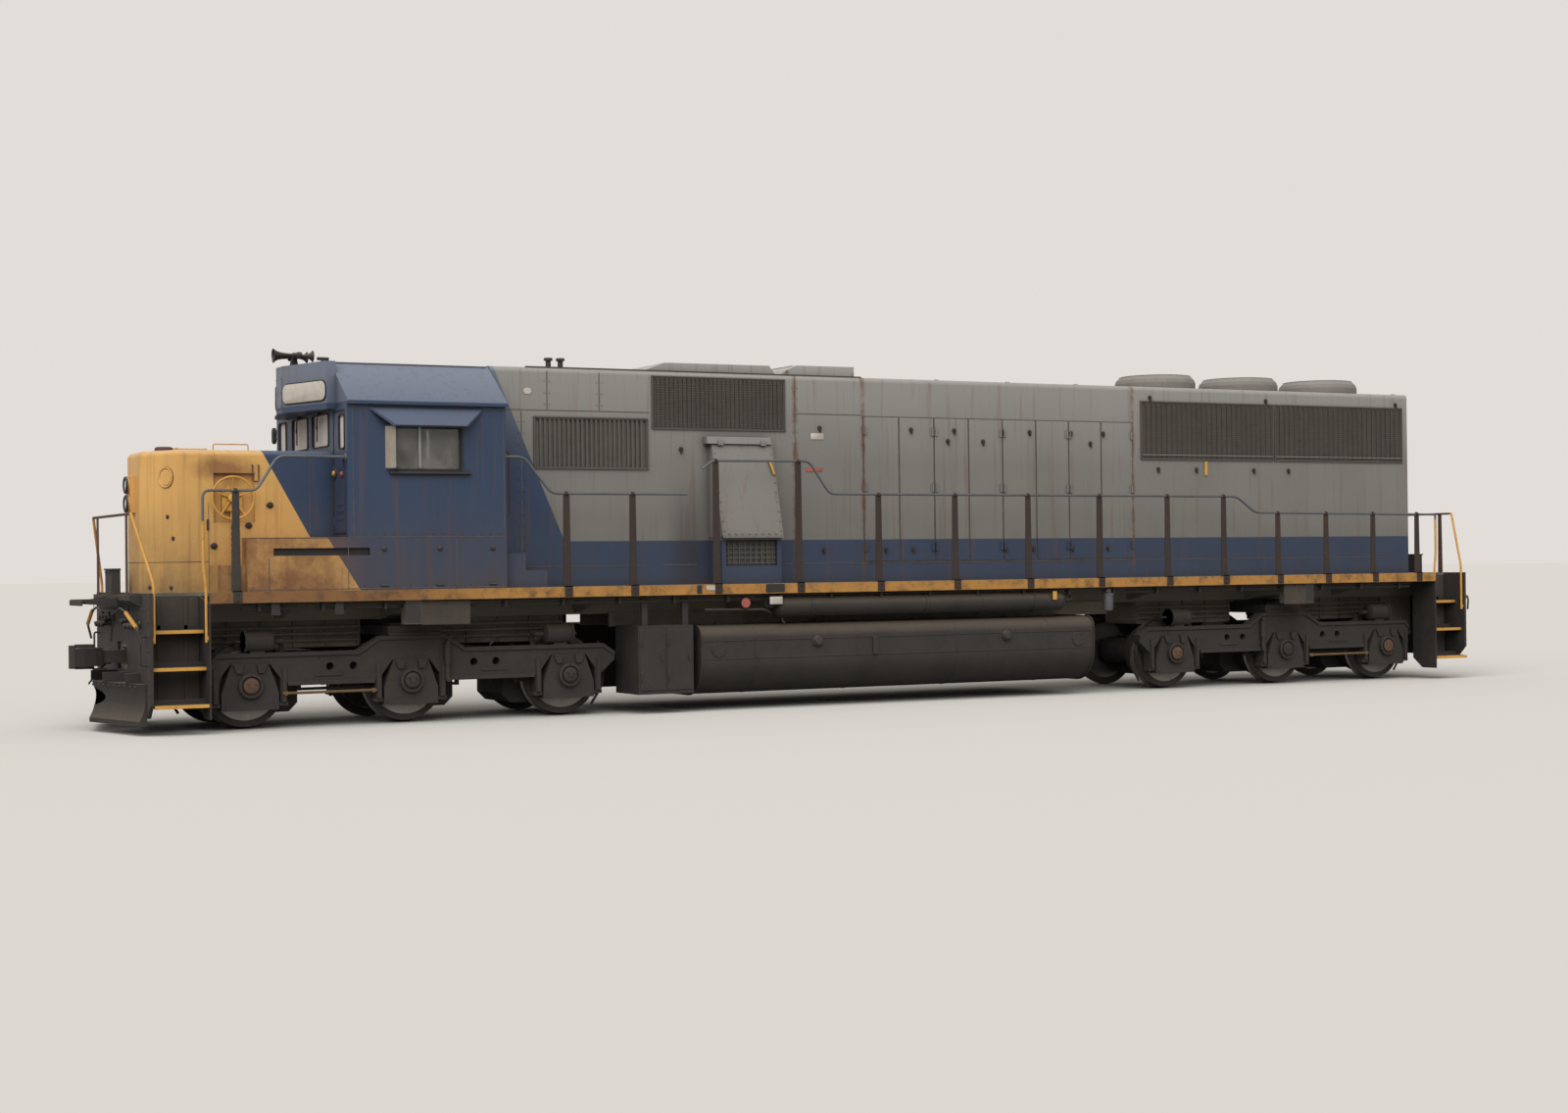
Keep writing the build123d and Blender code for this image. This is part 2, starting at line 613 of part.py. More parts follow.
def inner_cores():
    filters = block((-5200, -3740), (-700, 700), (3150, 3850))
    grids = block((-3560, -1640), (-700, 700), (3720, 4410))
    radiators = block((4500, 9480), (-720, 720), (3400, 3990))
    return [filters, grids, radiators]


# Length of the fuel tank section, with wide rounding below and a tighter one at the top
def tank_body(x, proud):
    low, high = 190 - proud, 1100 + proud
    body = block(x, (-1450 - proud, 1450 + proud), (low, high))
    for level, radius in ((low, 450), (high, 180)):
        edges = [e for e in body.edges().filter_by(Axis.X) if abs(e.center().Z - level) < 1]
        body = fillet([e for e in edges if abs(e.center().Y) > 1400], radius)
    return body


def fuel_tank():
    tank = tank_body((-3140, 3110), 0)
    for x in (-2500, 0, 2500):
        tank = tank + block((x - 120, x + 120), (-420, 420), (1100, 1270))
    for x in (-3160, 3110):
        tank = tank + tank_body((x, x + 20), 14)
    return tank


def air_reservoir():
    y, z, radius, middle, half = -1370, 1335, 135, 305, 2325
    head = [(radius, half - 75), (118, half - 30), (75, half - 6), (0, half)]
    outline = [(-x, r) for r, x in reversed(head)] + [(x, r) for r, x in head]
    vessel = revolve(make_face(Polyline(*[(x, r, 0) for x, r in outline], close=True)), axis=Axis.X)
    vessel = Pos(middle, y, z) * vessel
    for x in (-1500, 300, 2100):
        vessel = vessel + block((x - 30, x + 30), (y - 40, y + 40), (z + 80, 1540))
    return vessel


def equipment_box():
    box = block((-4050, -3260), (-1430, -700), (230, 1120))
    hanger = block((-3980, -3900), (-1400, -1340), (1120, 1545))
    hanger = hanger + block((-3400, -3320), (-1400, -1340), (1120, 1545))
    return box + hanger


# Handrails: tube on flat posts that lap the side of the sill. Post tops follow the rail.
LEFT_POSTS = (
    (-5060, 2830), (-4140, 2830), (-2940, 3270), (-1710, 3275), (-470, 2835), (760, 2835), (1980, 2835),
    (3210, 2835), (4430, 2835), (5470, 2835), (6500, 2585), (7440, 2580), (8380, 2575), (9280, 2570),
)


def post(x, top):
    wide, narrow, lap_y = 38, 24, -HALF_WIDTH - 12
    outline = [(x - wide, DECK_Z), (x - narrow, top), (x + narrow, top), (x + wide, DECK_Z)]
    bar = prism_y(outline, (RAIL_Y - 8, RAIL_Y + 8))
    foot = block((x - wide, x + wide), (lap_y, RAIL_Y + 8), (DECK_Z, DECK_Z + 16))
    return bar + foot + block((x - wide, x + wide), (lap_y, -HALF_WIDTH), (SILL_Z + 10, DECK_Z + 16))


def rail(points):
    return tube([(x, RAIL_Y, z) for x, z in points])


def front_rail():
    path = [(CAB_FRONT, 3265), (-8770, 3265), (-9030, 2850), (-9670, 2850)]
    path = path + [(-9670, 1950), (-9640, 1700), (-9640, 1060)]
    clamp = block((-9650, -WELL_X - 20), (RAIL_Y - 15, RAIL_Y + 15), (1090, 1130))
    return rail(path) + post(-9280, 2850) + clamp


def rear_rail_end():
    return [(9670, 2560), (9670, 1950), (9640, 1700), (9640, 1060)]


def side_rails():
    left_front = rail([(CAB_REAR, 3290), (-5630, 3290), (-5260, 2830), (-3360, 2830)])
    left_rear = [(-3130, 3160), (-3000, 3270), (-1540, 3280), (-1230, 2840), (5720, 2830), (6070, 2590)]
    left_rear = rail(left_rear + rear_rail_end())
    right = [(CAB_REAR, 3290), (-5630, 3290), (-5260, 2840), (5720, 2830), (6070, 2590)]
    right = other_side(rail(right + rear_rail_end()))
    clamp = block((WELL_X + 20, 9650), (RAIL_Y - 15, RAIL_Y + 15), (1090, 1130))
    for x, top in LEFT_POSTS:
        if x < -4000:
            left_front = left_front + post(x, top)
        else:
            left_rear = left_rear + post(x, top)
        right = right + other_side(post(x, min(top, 2835)))
    return [front_rail(), other_side(front_rail()), left_front, left_rear + clamp, right + other_side(clamp)]


# End rail: cross bar on two posts at the edge of the ledge, its ends falling to the corners
def end_rail():
    bar_x, corner_x = -END_X - LEDGE + 18, -END_X + 20
    corner = [(corner_x, -1460, 1060), (corner_x, -1460, 1750), (bar_x, -1090, 2585)]
    bar = tube(corner + [(x, -y, z) for x, y, z in reversed(corner)])
    for y in (-830, 830):
        outline = [(y - 38, LEDGE_TOP), (y - 24, 2585), (y + 24, 2585), (y + 38, LEDGE_TOP)]
        bar = bar + prism_x(outline, (bar_x - 8, bar_x + 8))
    for y in (-1460, 1460):
        bar = bar + block((-END_X, corner_x), (y - 15, y + 15), (1090, 1130))
    return bar


# Air horn: chimes on a manifold bar, three facing forward and two to the rear
def horn():
    z = RIDGE_Z + 130
    body = cylinder_y((-8130, 0, z), 28, 420) + block((-8170, -8090), (-60, 60), (RIDGE_Z, z))
    chimes = ((-190, -1, 325), (0, -1, 270), (190, -1, 215), (-95, 1, 220), (95, 1, 200))
    for y, direction, length in chimes:
        bell = Cone(20, 62, length) if direction > 0 else Cone(62, 20, length)
        body = body + Pos(-8130 + direction * (length / 2 + 10), y, z + 10) * Rot(0, 90, 0) * bell
    return body


FRONT_TRUCK = Pos(-TRUCK_CENTRE, 0, 0) * truck()
save("front_truck_frame", FRONT_TRUCK)
save("rear_truck_frame", turned(FRONT_TRUCK))
AXLES = [-TRUCK_CENTRE + x for x in (-AXLE_OUTER, -AXLE_MIDDLE, AXLE_OUTER)]
AXLES = AXLES + [-x for x in reversed(AXLES)]
for number, axle_x in enumerate(AXLES, start=1):
    save(f"wheelset_{number}", Pos(axle_x, 0, WHEEL_R) * wheelset())

save("underframe", underframe())
well = step_well()
save("end_steps", well, other_side(well), other_end(well), other_end(other_side(well)))
save("front_pilot", pilot(180) + plough())
save("rear_pilot", turned(pilot(330)))
save("front_coupler", coupler())
save("rear_coupler", turned(coupler()))
save("front_knuckle", knuckle())
save("rear_knuckle", turned(knuckle()))

save("short_hood", short_hood())
save("handbrake_wheel", handbrake_wheel())
save("sub_base", sub_base())
save("cab_front_wall", cab_front_wall())
save("cab_rear_wall", cab_rear_wall())
save("cab_side_walls", cab_side_wall(), other_side(cab_side_wall()))
save("cab_roof", cab_roof())
save("front_cab_door", cab_door())
rear_door = Pos(CAB_REAR + CAB_FRONT, 0, 0) * turned(cab_door())
save("rear_cab_door", rear_door)
save("cab_windows", *cab_windows())
save("number_board_housing", number_board_housing())
awnings = awning()
save("window_awnings", *awnings, *[other_side(piece) for piece in awnings])
save("crew_seats", crew_seat(-6700, -950), crew_seat(-6700, 950))
save("control_stand", control_stand())
save("horn", horn())

save("hood_intake_section", hood_intake_section())
save("hood_blower_section", hood_blower_section())
save("hood_engine_section", hood_engine_section())
save("hood_radiator_section", hood_radiator_section())
louvre = grille(INTAKE_X, INTAKE_Z, 24, 30)
save("intake_louvres", louvre, other_side(louvre))
screen = grille(DYNAMIC_X, DYNAMIC_Z, 30, 24)
save("dynamic_brake_grilles", screen, other_side(screen))
shutters = [grille(x, RADIATOR_Z, 26, 24) for x in RADIATOR_X]
save("radiator_grilles", *shutters, *[other_side(piece) for piece in shutters])
save("inner_cores", *inner_cores())
save("engine_block", engine_block())
save("roof_hatches", *roof_hatches())
save("blower_duct", blower_duct())
save("fan_shrouds", *[fan_shroud(x) for x in FAN_X], *[fan_motor(x) for x in FAN_X])
for number, fan_x in enumerate(FAN_X, start=1):
    save(f"fan_{number}", fan_rotor(fan_x))

save("fuel_tank", fuel_tank())
save("air_reservoirs", air_reservoir(), other_side(air_reservoir()))
save("equipment_boxes", equipment_box(), other_side(equipment_box()))
save("side_handrails", *side_rails())
save("end_handrails", end_rail(), other_end(end_rail()))
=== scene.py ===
import json
from functools import partial
from math import atan2, cos, pi, radians, sin, tan

import bmesh
import bpy
from mathutils import Matrix, Vector


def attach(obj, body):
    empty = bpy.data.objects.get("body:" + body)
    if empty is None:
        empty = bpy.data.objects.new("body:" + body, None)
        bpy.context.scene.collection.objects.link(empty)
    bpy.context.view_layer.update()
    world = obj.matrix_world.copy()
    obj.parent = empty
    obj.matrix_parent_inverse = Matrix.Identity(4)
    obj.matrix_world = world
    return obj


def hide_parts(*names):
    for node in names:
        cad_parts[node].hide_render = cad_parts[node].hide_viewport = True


# Six-axle road-switcher diesel locomotive: low short hood, cab and long hood.
# Metres, +Z up. The front end points along -X and the left side along -Y.
# Heights of the pieces below are above the rail head, and finishPiece lifts them.

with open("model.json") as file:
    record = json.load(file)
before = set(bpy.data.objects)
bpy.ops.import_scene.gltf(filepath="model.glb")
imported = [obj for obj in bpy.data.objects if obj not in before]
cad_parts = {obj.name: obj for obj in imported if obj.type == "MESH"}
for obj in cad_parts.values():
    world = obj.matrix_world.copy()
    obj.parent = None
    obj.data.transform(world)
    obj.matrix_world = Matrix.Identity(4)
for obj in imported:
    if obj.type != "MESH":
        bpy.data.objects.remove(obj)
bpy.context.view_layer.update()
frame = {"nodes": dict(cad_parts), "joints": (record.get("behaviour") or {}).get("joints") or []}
scene = bpy.context.scene

railHead = 0.028  # rail head above the wheel flange tips
jointPlace = {joint["name"]: joint["pos_m"] for joint in frame["joints"]}
axleX = [jointPlace[f"axle_{i}_spin"][0] for i in range(1, 7)]
fanX = [jointPlace[f"fan_{i}_spin"][0] for i in range(1, 4)]
truckCentre = jointPlace["rear_truck_swivel"][0]
axleZ = jointPlace["axle_1_spin"][2] - railHead
hoodHalf = 0.94  # half widths of the long hood and of the sill and cab
halfWidth = 1.55
hoodTop = 4.48
deckZ = 1.645
railY = 1.5  # middle of the handrail posts
print("frame loaded:", len(frame["nodes"]), "nodes")


# Colours and nodes: a hex code as the eye sees it, turned into the light values of the renderer
def linearColour(code):
    channels = [int(code[i:i + 2], 16) / 255 for i in (1, 3, 5)]
    return [c / 12.92 if c <= 0.04045 else ((c + 0.055) / 1.055) ** 2.4 for c in channels] + [1.0]


# Sockets that a tuple of inputs fills in order, and the output that is used most
socketOrder = {"Mix": (0, 6, 7), "TexNoise": ("Vector", "Scale", "Detail", "Roughness")}
usualOutput = {"Mix": 2, "TexNoise": "Fac"}


# Settings may be just the operation of a maths node, and a Mix node always mixes colours
def addNode(tree, kind, inputs=None, settings=None, out=None):
    node = tree.nodes.new("ShaderNode" + kind)
    if kind == "Mix":
        settings = {"data_type": "RGBA"}
    elif isinstance(settings, str):
        settings = {"operation": settings}
    if isinstance(inputs, tuple):
        inputs = dict(zip(socketOrder.get(kind, range(5)), inputs))
    for name, value in (settings or {}).items():
        if name == "stops":
            for element, (place, code) in zip(node.color_ramp.elements, value):
                element.position = place
                element.color = linearColour(code)
        else:
            setattr(node, name, value)
    for key, value in (inputs or {}).items():
        if isinstance(value, bpy.types.NodeSocket):
            tree.links.new(value, node.inputs[key])
        elif isinstance(value, str):
            node.inputs[key].default_value = linearColour(value)
        else:
            node.inputs[key].default_value = value
    return node.outputs[usualOutput.get(kind, 0) if out is None else out] if len(node.outputs) else node


def newMaterial(name):
    material = bpy.data.materials.new(name)
    material.use_nodes = True
    tree = material.node_tree
    tree.nodes.clear()
    return material, partial(addNode, tree)


# Livery edges, as x + slope * z, and the top of the blue band along the hood. Rust lines are
# places in x. The soot with the painted duct shadow has its x and reach, the stain of the nose its x, z and
# half sizes.
livery = {
    # the pale grey and pale blue tones on this line serve both as sun fade and as painted sky light on tops
    # and upper sides
    "yellow": "#dcab62", "blue": "#2e405b", "grey": "#7d7b76", "chalkAndSkyLight": "#b9b6b1", "blueChalkAndSkyLight": "#adb3bf",
    "yellowSlope": 0.56, "yellowEdge": -6.918, "boxSlope": 0.0666, "boxEdge": 0.185,
    "greySlope": 0.4286, "greyEdge": -3.889, "bandTop": 2.258,
    # the last tone on this line is grime, and it also serves as painted shade in crevices and beside the
    # duct
    "dust": "#4a4139", "boxDust": "#76492c", "rust": "#6b4326", "grimeAndShade": "#231f1c",
    "rustLines": (-0.38, 4.23, -1.449), "ductShadeAndSootAt": (-3.08, 0.34), "noseStain": (-9.26, 3.15, 0.5, 0.22),
    "panelPitch": 0.585,
}


# Alkyd enamel sprayed on sheet steel: satin, chalked by the sun towards the roof, with painted
# sky light on the tops and upper sides, dusty at the foot, with rust weeping from the seams and
# panels that have faded by different amounts. Painted shade darkens the crevices and the hood beside the
# duct.
def enamelLivery():
    material, add = newMaterial("enamelLivery")
    coords = add("TexCoord", out="Object")
    axes = add("SeparateXYZ", (coords,)).node.outputs
    normal = add("TexCoord", out="Normal")
    upward = add("SeparateXYZ", (normal,)).node.outputs["Z"]
    # the battery boxes stand out from the cab, and the edge is cut steeper on them
    outward = add("Math", (axes["Y"],), "ABSOLUTE")
    wide = add("Math", (outward, 1.3), "GREATER_THAN")
    under = add("Math", (axes["Z"], 2.33), "LESS_THAN")
    onBox = add("Math", (wide, under), "MULTIPLY")
    slope = add("Math", (onBox, livery["boxSlope"], livery["yellowSlope"]), "MULTIPLY_ADD")
    edge = add("Math", (onBox, livery["boxEdge"], livery["yellowEdge"]), "MULTIPLY_ADD")
    along = add("Math", (axes["Z"], slope, axes["X"]), "MULTIPLY_ADD")
    isYellow = add("Math", (along, edge), "LESS_THAN")
    back = add("Math", (axes["Z"], livery["greySlope"], axes["X"]), "MULTIPLY_ADD")
    behind = add("Math", (back, livery["greyEdge"]), "GREATER_THAN")
    above = add("Math", (axes["Z"], livery["bandTop"]), "GREATER_THAN")
    isGrey = add("Math", (behind, above), "MULTIPLY")
    blueGrey = add("Mix", (isGrey, livery["blue"], livery["grey"]))
    paint = add("Mix", (isYellow, blueGrey, livery["yellow"]))

    # fading: broad cloudy patches and a step from panel to panel
    clouds = add("TexNoise", (coords, 0.9, 4.0, 0.6))
    cell = add("Math", (axes["X"], livery["panelPitch"]), "DIVIDE")
    panel = add("Math", (cell,), "FLOOR")
    level = add("Math", (axes["Z"], 3.95), "GREATER_THAN")
    panelLevel = add("Math", (level, 37.0, panel), "MULTIPLY_ADD")
    shade = add("TexWhiteNoise", {"W": panelLevel}, {"noise_dimensions": "1D"}, "Value")
    fade = add("Math", (shade, 0.08, 0.85), "MULTIPLY_ADD")
    fadeAll = add("Math", (clouds, 0.22, fade), "MULTIPLY_ADD")
    faded = add("HueSaturation", {"Color": paint, "Value": fadeAll})

    # chalk and painted sky light: the sun bleaches what faces up and the top of the sides, and the same pale
    # tone is painted on upward faces, the upper sides and the roof crown to stand in for sky light
    high = add("MapRange", (axes["Z"], 3.3, 4.4, 0.0, 0.34))
    notCab = add("Math", (axes["X"], -5.85), "GREATER_THAN")
    onTop = add("Math", (axes["Z"], 3.97), "GREATER_THAN")
    sunlit = add("Math", (notCab, onTop), "MAXIMUM")
    highChalkAndSkyLight = add("Math", (high, sunlit), "MULTIPLY")
    upwardChalkAndSkyLight = add("MapRange", (upward, 0.2, 0.9, 0.0, 0.2))
    crownChalkAndSkyLight = add("MapRange", (axes["Z"], 4.515, 4.53, 0.0, 0.62))
    sideChalkAndSkyLight = add("Math", (highChalkAndSkyLight, upwardChalkAndSkyLight), "MAXIMUM")
    chalkAndSkyLight = add("Math", (sideChalkAndSkyLight, crownChalkAndSkyLight), "MAXIMUM")
    chalkAndSkyTone = add("Mix", (isGrey, livery["blueChalkAndSkyLight"], livery["chalkAndSkyLight"]))
    chalkedAndSkyLit = add("Mix", (chalkAndSkyLight, faded, chalkAndSkyTone))

    # streaks: noise drawn out down the side, stronger near the foot
    stretch = add("Mapping", {"Vector": coords, "Scale": (14.0, 14.0, 0.55)})
    streak = add("TexNoise", (stretch, 1.0, 5.0, 0.65))
    streakMask = add("MapRange", (streak, 0.54, 0.8, 0.0, 0.55))
    streaked = add("Mix", (streakMask, chalkedAndSkyLit, livery["rust"]))

    # rust that weeps from a few seams
    lines = None
    for x in livery["rustLines"]:
        gap = add("Math", (axes["X"], x), "SUBTRACT")
        size = add("Math", (gap,), "ABSOLUTE")
        line = add("MapRange", (size, 0.014, 0.05, 0.9, 0.0))
        lines = line if lines is None else add("Math", (lines, line), "MAXIMUM")
    patchy = add("TexNoise", (coords, 3.2, 6.0, 0.7))
    patch = add("MapRange", (patchy, 0.4, 0.6))
    weep = add("Math", (lines, patch), "MULTIPLY")
    rusty = add("Mix", (weep, streaked, livery["rust"]))

    # painted duct shadow and soot beside the duct, and the brown stain round the hand brake
    place, reach = livery["ductShadeAndSootAt"]
    shadeAndSootGap = add("Math", (axes["X"], place), "SUBTRACT")
    shadeAndSootSize = add("Math", (shadeAndSootGap,), "ABSOLUTE")
    shadeAndSootAcross = add("MapRange", (shadeAndSootSize, reach, reach * 0.3, 0.0, 0.55))
    shadeAndSootUp = add("MapRange", (axes["Z"], 2.1, 3.2, 1.0, 0.0))
    ductShadeAndSoot = add("Math", (shadeAndSootAcross, shadeAndSootUp), "MULTIPLY")
    ductShadedAndSooty = add("Mix", (ductShadeAndSoot, rusty, livery["grimeAndShade"]))
    x, z, halfLong, halfHigh = livery["noseStain"]
    stainX = add("Math", (axes["X"], 1 / halfLong, -x / halfLong), "MULTIPLY_ADD")
    stainZ = add("Math", (axes["Z"], 1 / halfHigh, -z / halfHigh), "MULTIPLY_ADD")
    stainPlace = add("CombineXYZ", (stainX, stainZ))
    stainReach = add("VectorMath", (stainPlace,), "LENGTH", "Value")
    stainRough = add("Math", (patchy, 0.9, stainReach), "MULTIPLY_ADD")
    stain = add("MapRange", (stainRough, 0.75, 1.35, 0.75, 0.0))
    stained = add("Mix", (stain, ductShadedAndSooty, livery["boxDust"]))

    # dust thrown up from the track, brown on the battery boxes and the front of the side
    low = add("MapRange", (axes["Z"], 1.65, 2.9, 1.0, 0.0))
    uneven = add("MapRange", (patchy, 0.3, 0.75, 0.4, 1.0))
    dustAmount = add("Math", (low, uneven), "MULTIPLY")
    front = add("MapRange", (axes["X"], -6.1, -5.2, 0.75, 0.4))
    dust = add("Math", (dustAmount, front), "MULTIPLY")
    dusty = add("Mix", (dust, stained, livery["dust"]))
    forward = add("MapRange", (axes["X"], -8.3, -7.7, 1.0, 0.04))
    caked = add("MapRange", (patchy, 0.3, 0.62, 0.25, 0.85))
    boxCake = add("Math", (caked, forward), "MULTIPLY")
    boxDust = add("Math", (boxCake, onBox), "MULTIPLY")
    boxed = add("Mix", (boxDust, dusty, livery["boxDust"]))
    # painted shade with grime: ambient occlusion darkens crevices and joints towards the dark tone, less on
    # the yellow
    crevice = add("AmbientOcclusion", {"Distance": 0.16}, {"samples": 6}, "AO")
    grimeAndShadeStrength = add("Math", (isYellow, -0.4, 0.6), "MULTIPLY_ADD")
    grimeAndShade = add("MapRange", (crevice, 0.35, 0.95, grimeAndShadeStrength, 0.0))
    finalColour = add("Mix", (grimeAndShade, boxed, livery["grimeAndShade"]))

    dirt = add("Math", (dust, streakMask), "MAXIMUM")
    roughness = add("MapRange", (dirt, 0.0, 0.8, 0.45, 0.85))
    buckle = add("TexNoise", (coords, 1.6, 2.0))
    bump = add("Bump", {"Strength": 0.35, "Distance": 0.012, "Height": buckle})
    shader = add("BsdfPrincipled", {
        "Base Color": finalColour, "Roughness": roughness, "Normal": bump, "IOR": 1.5})
    add("OutputMaterial", (shader,))
    return material


# Finishes that share one recipe: a base with cloudy variation, dust on faces that look up,
# rust or bare metal in patches, grime with painted shade in the crevices, and a fine bump. Grain is the
# bump's pattern size in mm.
def wornFinish(name, look):
    material, add = newMaterial(name)
    coords = add("TexCoord", out="Object")
    normal = add("TexCoord", out="Normal")
    upward = add("SeparateXYZ", (normal,)).node.outputs["Z"]
    clouds = add("TexNoise", (coords, 2.3, 6.0, 0.65))
    cloudMask = add("MapRange", (clouds, 0.35, 0.7))
    base = add("Mix", (cloudMask, look["base"], look["second"]))
    patches = add("TexNoise", (coords, 9.0, 8.0, 0.7))
    worn = add("MapRange", (patches, 0.55, 0.68, 0.0, look["wear"]))
    patched = add("Mix", (worn, base, look["rust"]))
    lying = add("MapRange", (upward, 0.1, 0.9, 0.0, look["dust"]))
    dusty = add("Mix", (lying, patched, look.get("dustColour", livery["dust"])), out=2)
    # painted shade with grime: ambient occlusion darkens crevices towards the dark tone
    crevice = add("AmbientOcclusion", {"Distance": 0.12}, {"samples": 4}, "AO")
    grimeAndShade = add("MapRange", (crevice, 0.3, 0.9, 0.5, 0.0))
    colour = add("Mix", (grimeAndShade, dusty, livery["grimeAndShade"]))
    rough = add("MapRange", (patches, 0.3, 0.7, look["roughness"], min(1.0, look["roughness"] + 0.2)))
    grain = add("TexNoise", (coords, 1000 / look["grain"], 3.0))
    bump = add("Bump", {"Strength": look["bump"], "Distance": 0.004, "Height": grain})
    shader = add("BsdfPrincipled", {
        "Base Color": colour, "Roughness": rough, "Metallic": look["metallic"], "Normal": bump})
    add("OutputMaterial", (shader,))
    return material


# Side sills: the same black enamel as the frame, with the yellow stripe along the outer face,
# brown with brake dust as far back as the cab. Where ambient occlusion finds the frame sheltered,
# a pale tone is laid on: dust, and painted fill light that lifts the shade.
def sillEnamel():
    material, add = newMaterial("frameEnamel")
    coords = add("TexCoord", out="Object")
    axes = add("SeparateXYZ", (coords,)).node.outputs
    side = add("Math", (axes["Y"],), "ABSOLUTE")
    outer = add("Math", (side, halfWidth - 0.002), "GREATER_THAN")
    high = add("Math", (axes["Z"], 1.515 + railHead), "GREATER_THAN")
    stripe = add("Math", (outer, high), "MULTIPLY")
    patches = add("TexNoise", (coords, 6.0, 8.0, 0.7))
    scuffed = add("MapRange", (patches, 0.5, 0.7, 1.0, 0.35))
    stripeMask = add("Math", (stripe, scuffed), "MULTIPLY")
    normal = add("TexCoord", out="Normal")
    upward = add("SeparateXYZ", (normal,)).node.outputs["Z"]
    lying = add("MapRange", (upward, 0.1, 0.9, 0.15, 0.8))
    # painted fill light with dust: occluded parts are painted paler
    crevice = add("AmbientOcclusion", {"Distance": 1.2}, {"samples": 4}, "AO")
    shelteredDustAndFill = add("MapRange", (crevice, 0.2, 0.8, 0.9, 0.0))
    black = add("Mix", (lying, "#282523", "#57504a"))
    dustedAndFilled = add("Mix", (shelteredDustAndFill, black, "#a09789"))
    yellow = add("Mix", (patches, "#cd9546", "#875f34"))
    front = add("MapRange", (axes["X"], -7.4, -5.9, 0.75, 0.0))
    brown = add("Mix", (front, yellow, "#6e4a30"))
    colour = add("Mix", (stripeMask, dustedAndFilled, brown))
    bump = add("Bump", {"Strength": 0.25, "Distance": 0.003, "Height": patches})
    shader = add("BsdfPrincipled", {"Base Color": colour, "Roughness": 0.68, "Normal": bump})
    add("OutputMaterial", (shader,))
    return material


# Laminated safety glass: a clear sheet that keeps the sky's reflection, and a film of dust
# that is thick on the windscreen and thin on the side windows
def safetyGlass():
    material, add = newMaterial("safetyGlass")
    coords = add("TexCoord", out="Object")
    along = add("SeparateXYZ", (coords,)).node.outputs["X"]
    smear = add("TexNoise", (coords, 5.0, 4.0))
    thin = add("MapRange", (smear, 0.35, 0.8, 0.06, 0.26))
    windscreen = add("MapRange", (along, -7.85, -7.8, 0.88, 0.0))
    haze = add("Math", (thin, windscreen), "ADD")
    rough = add("MapRange", (smear, 0.3, 0.8, 0.02, 0.14))
    glass = add("BsdfPrincipled", {
        "Base Color": "#c9d0cf", "Roughness": rough, "IOR": 1.52, "Transmission Weight": 1.0})
    dust = add("BsdfDiffuse", {"Color": "#d3cbc0"})
    mixed = add("MixShader", (haze, glass, dust))
    add("OutputMaterial", (mixed,))
    return material


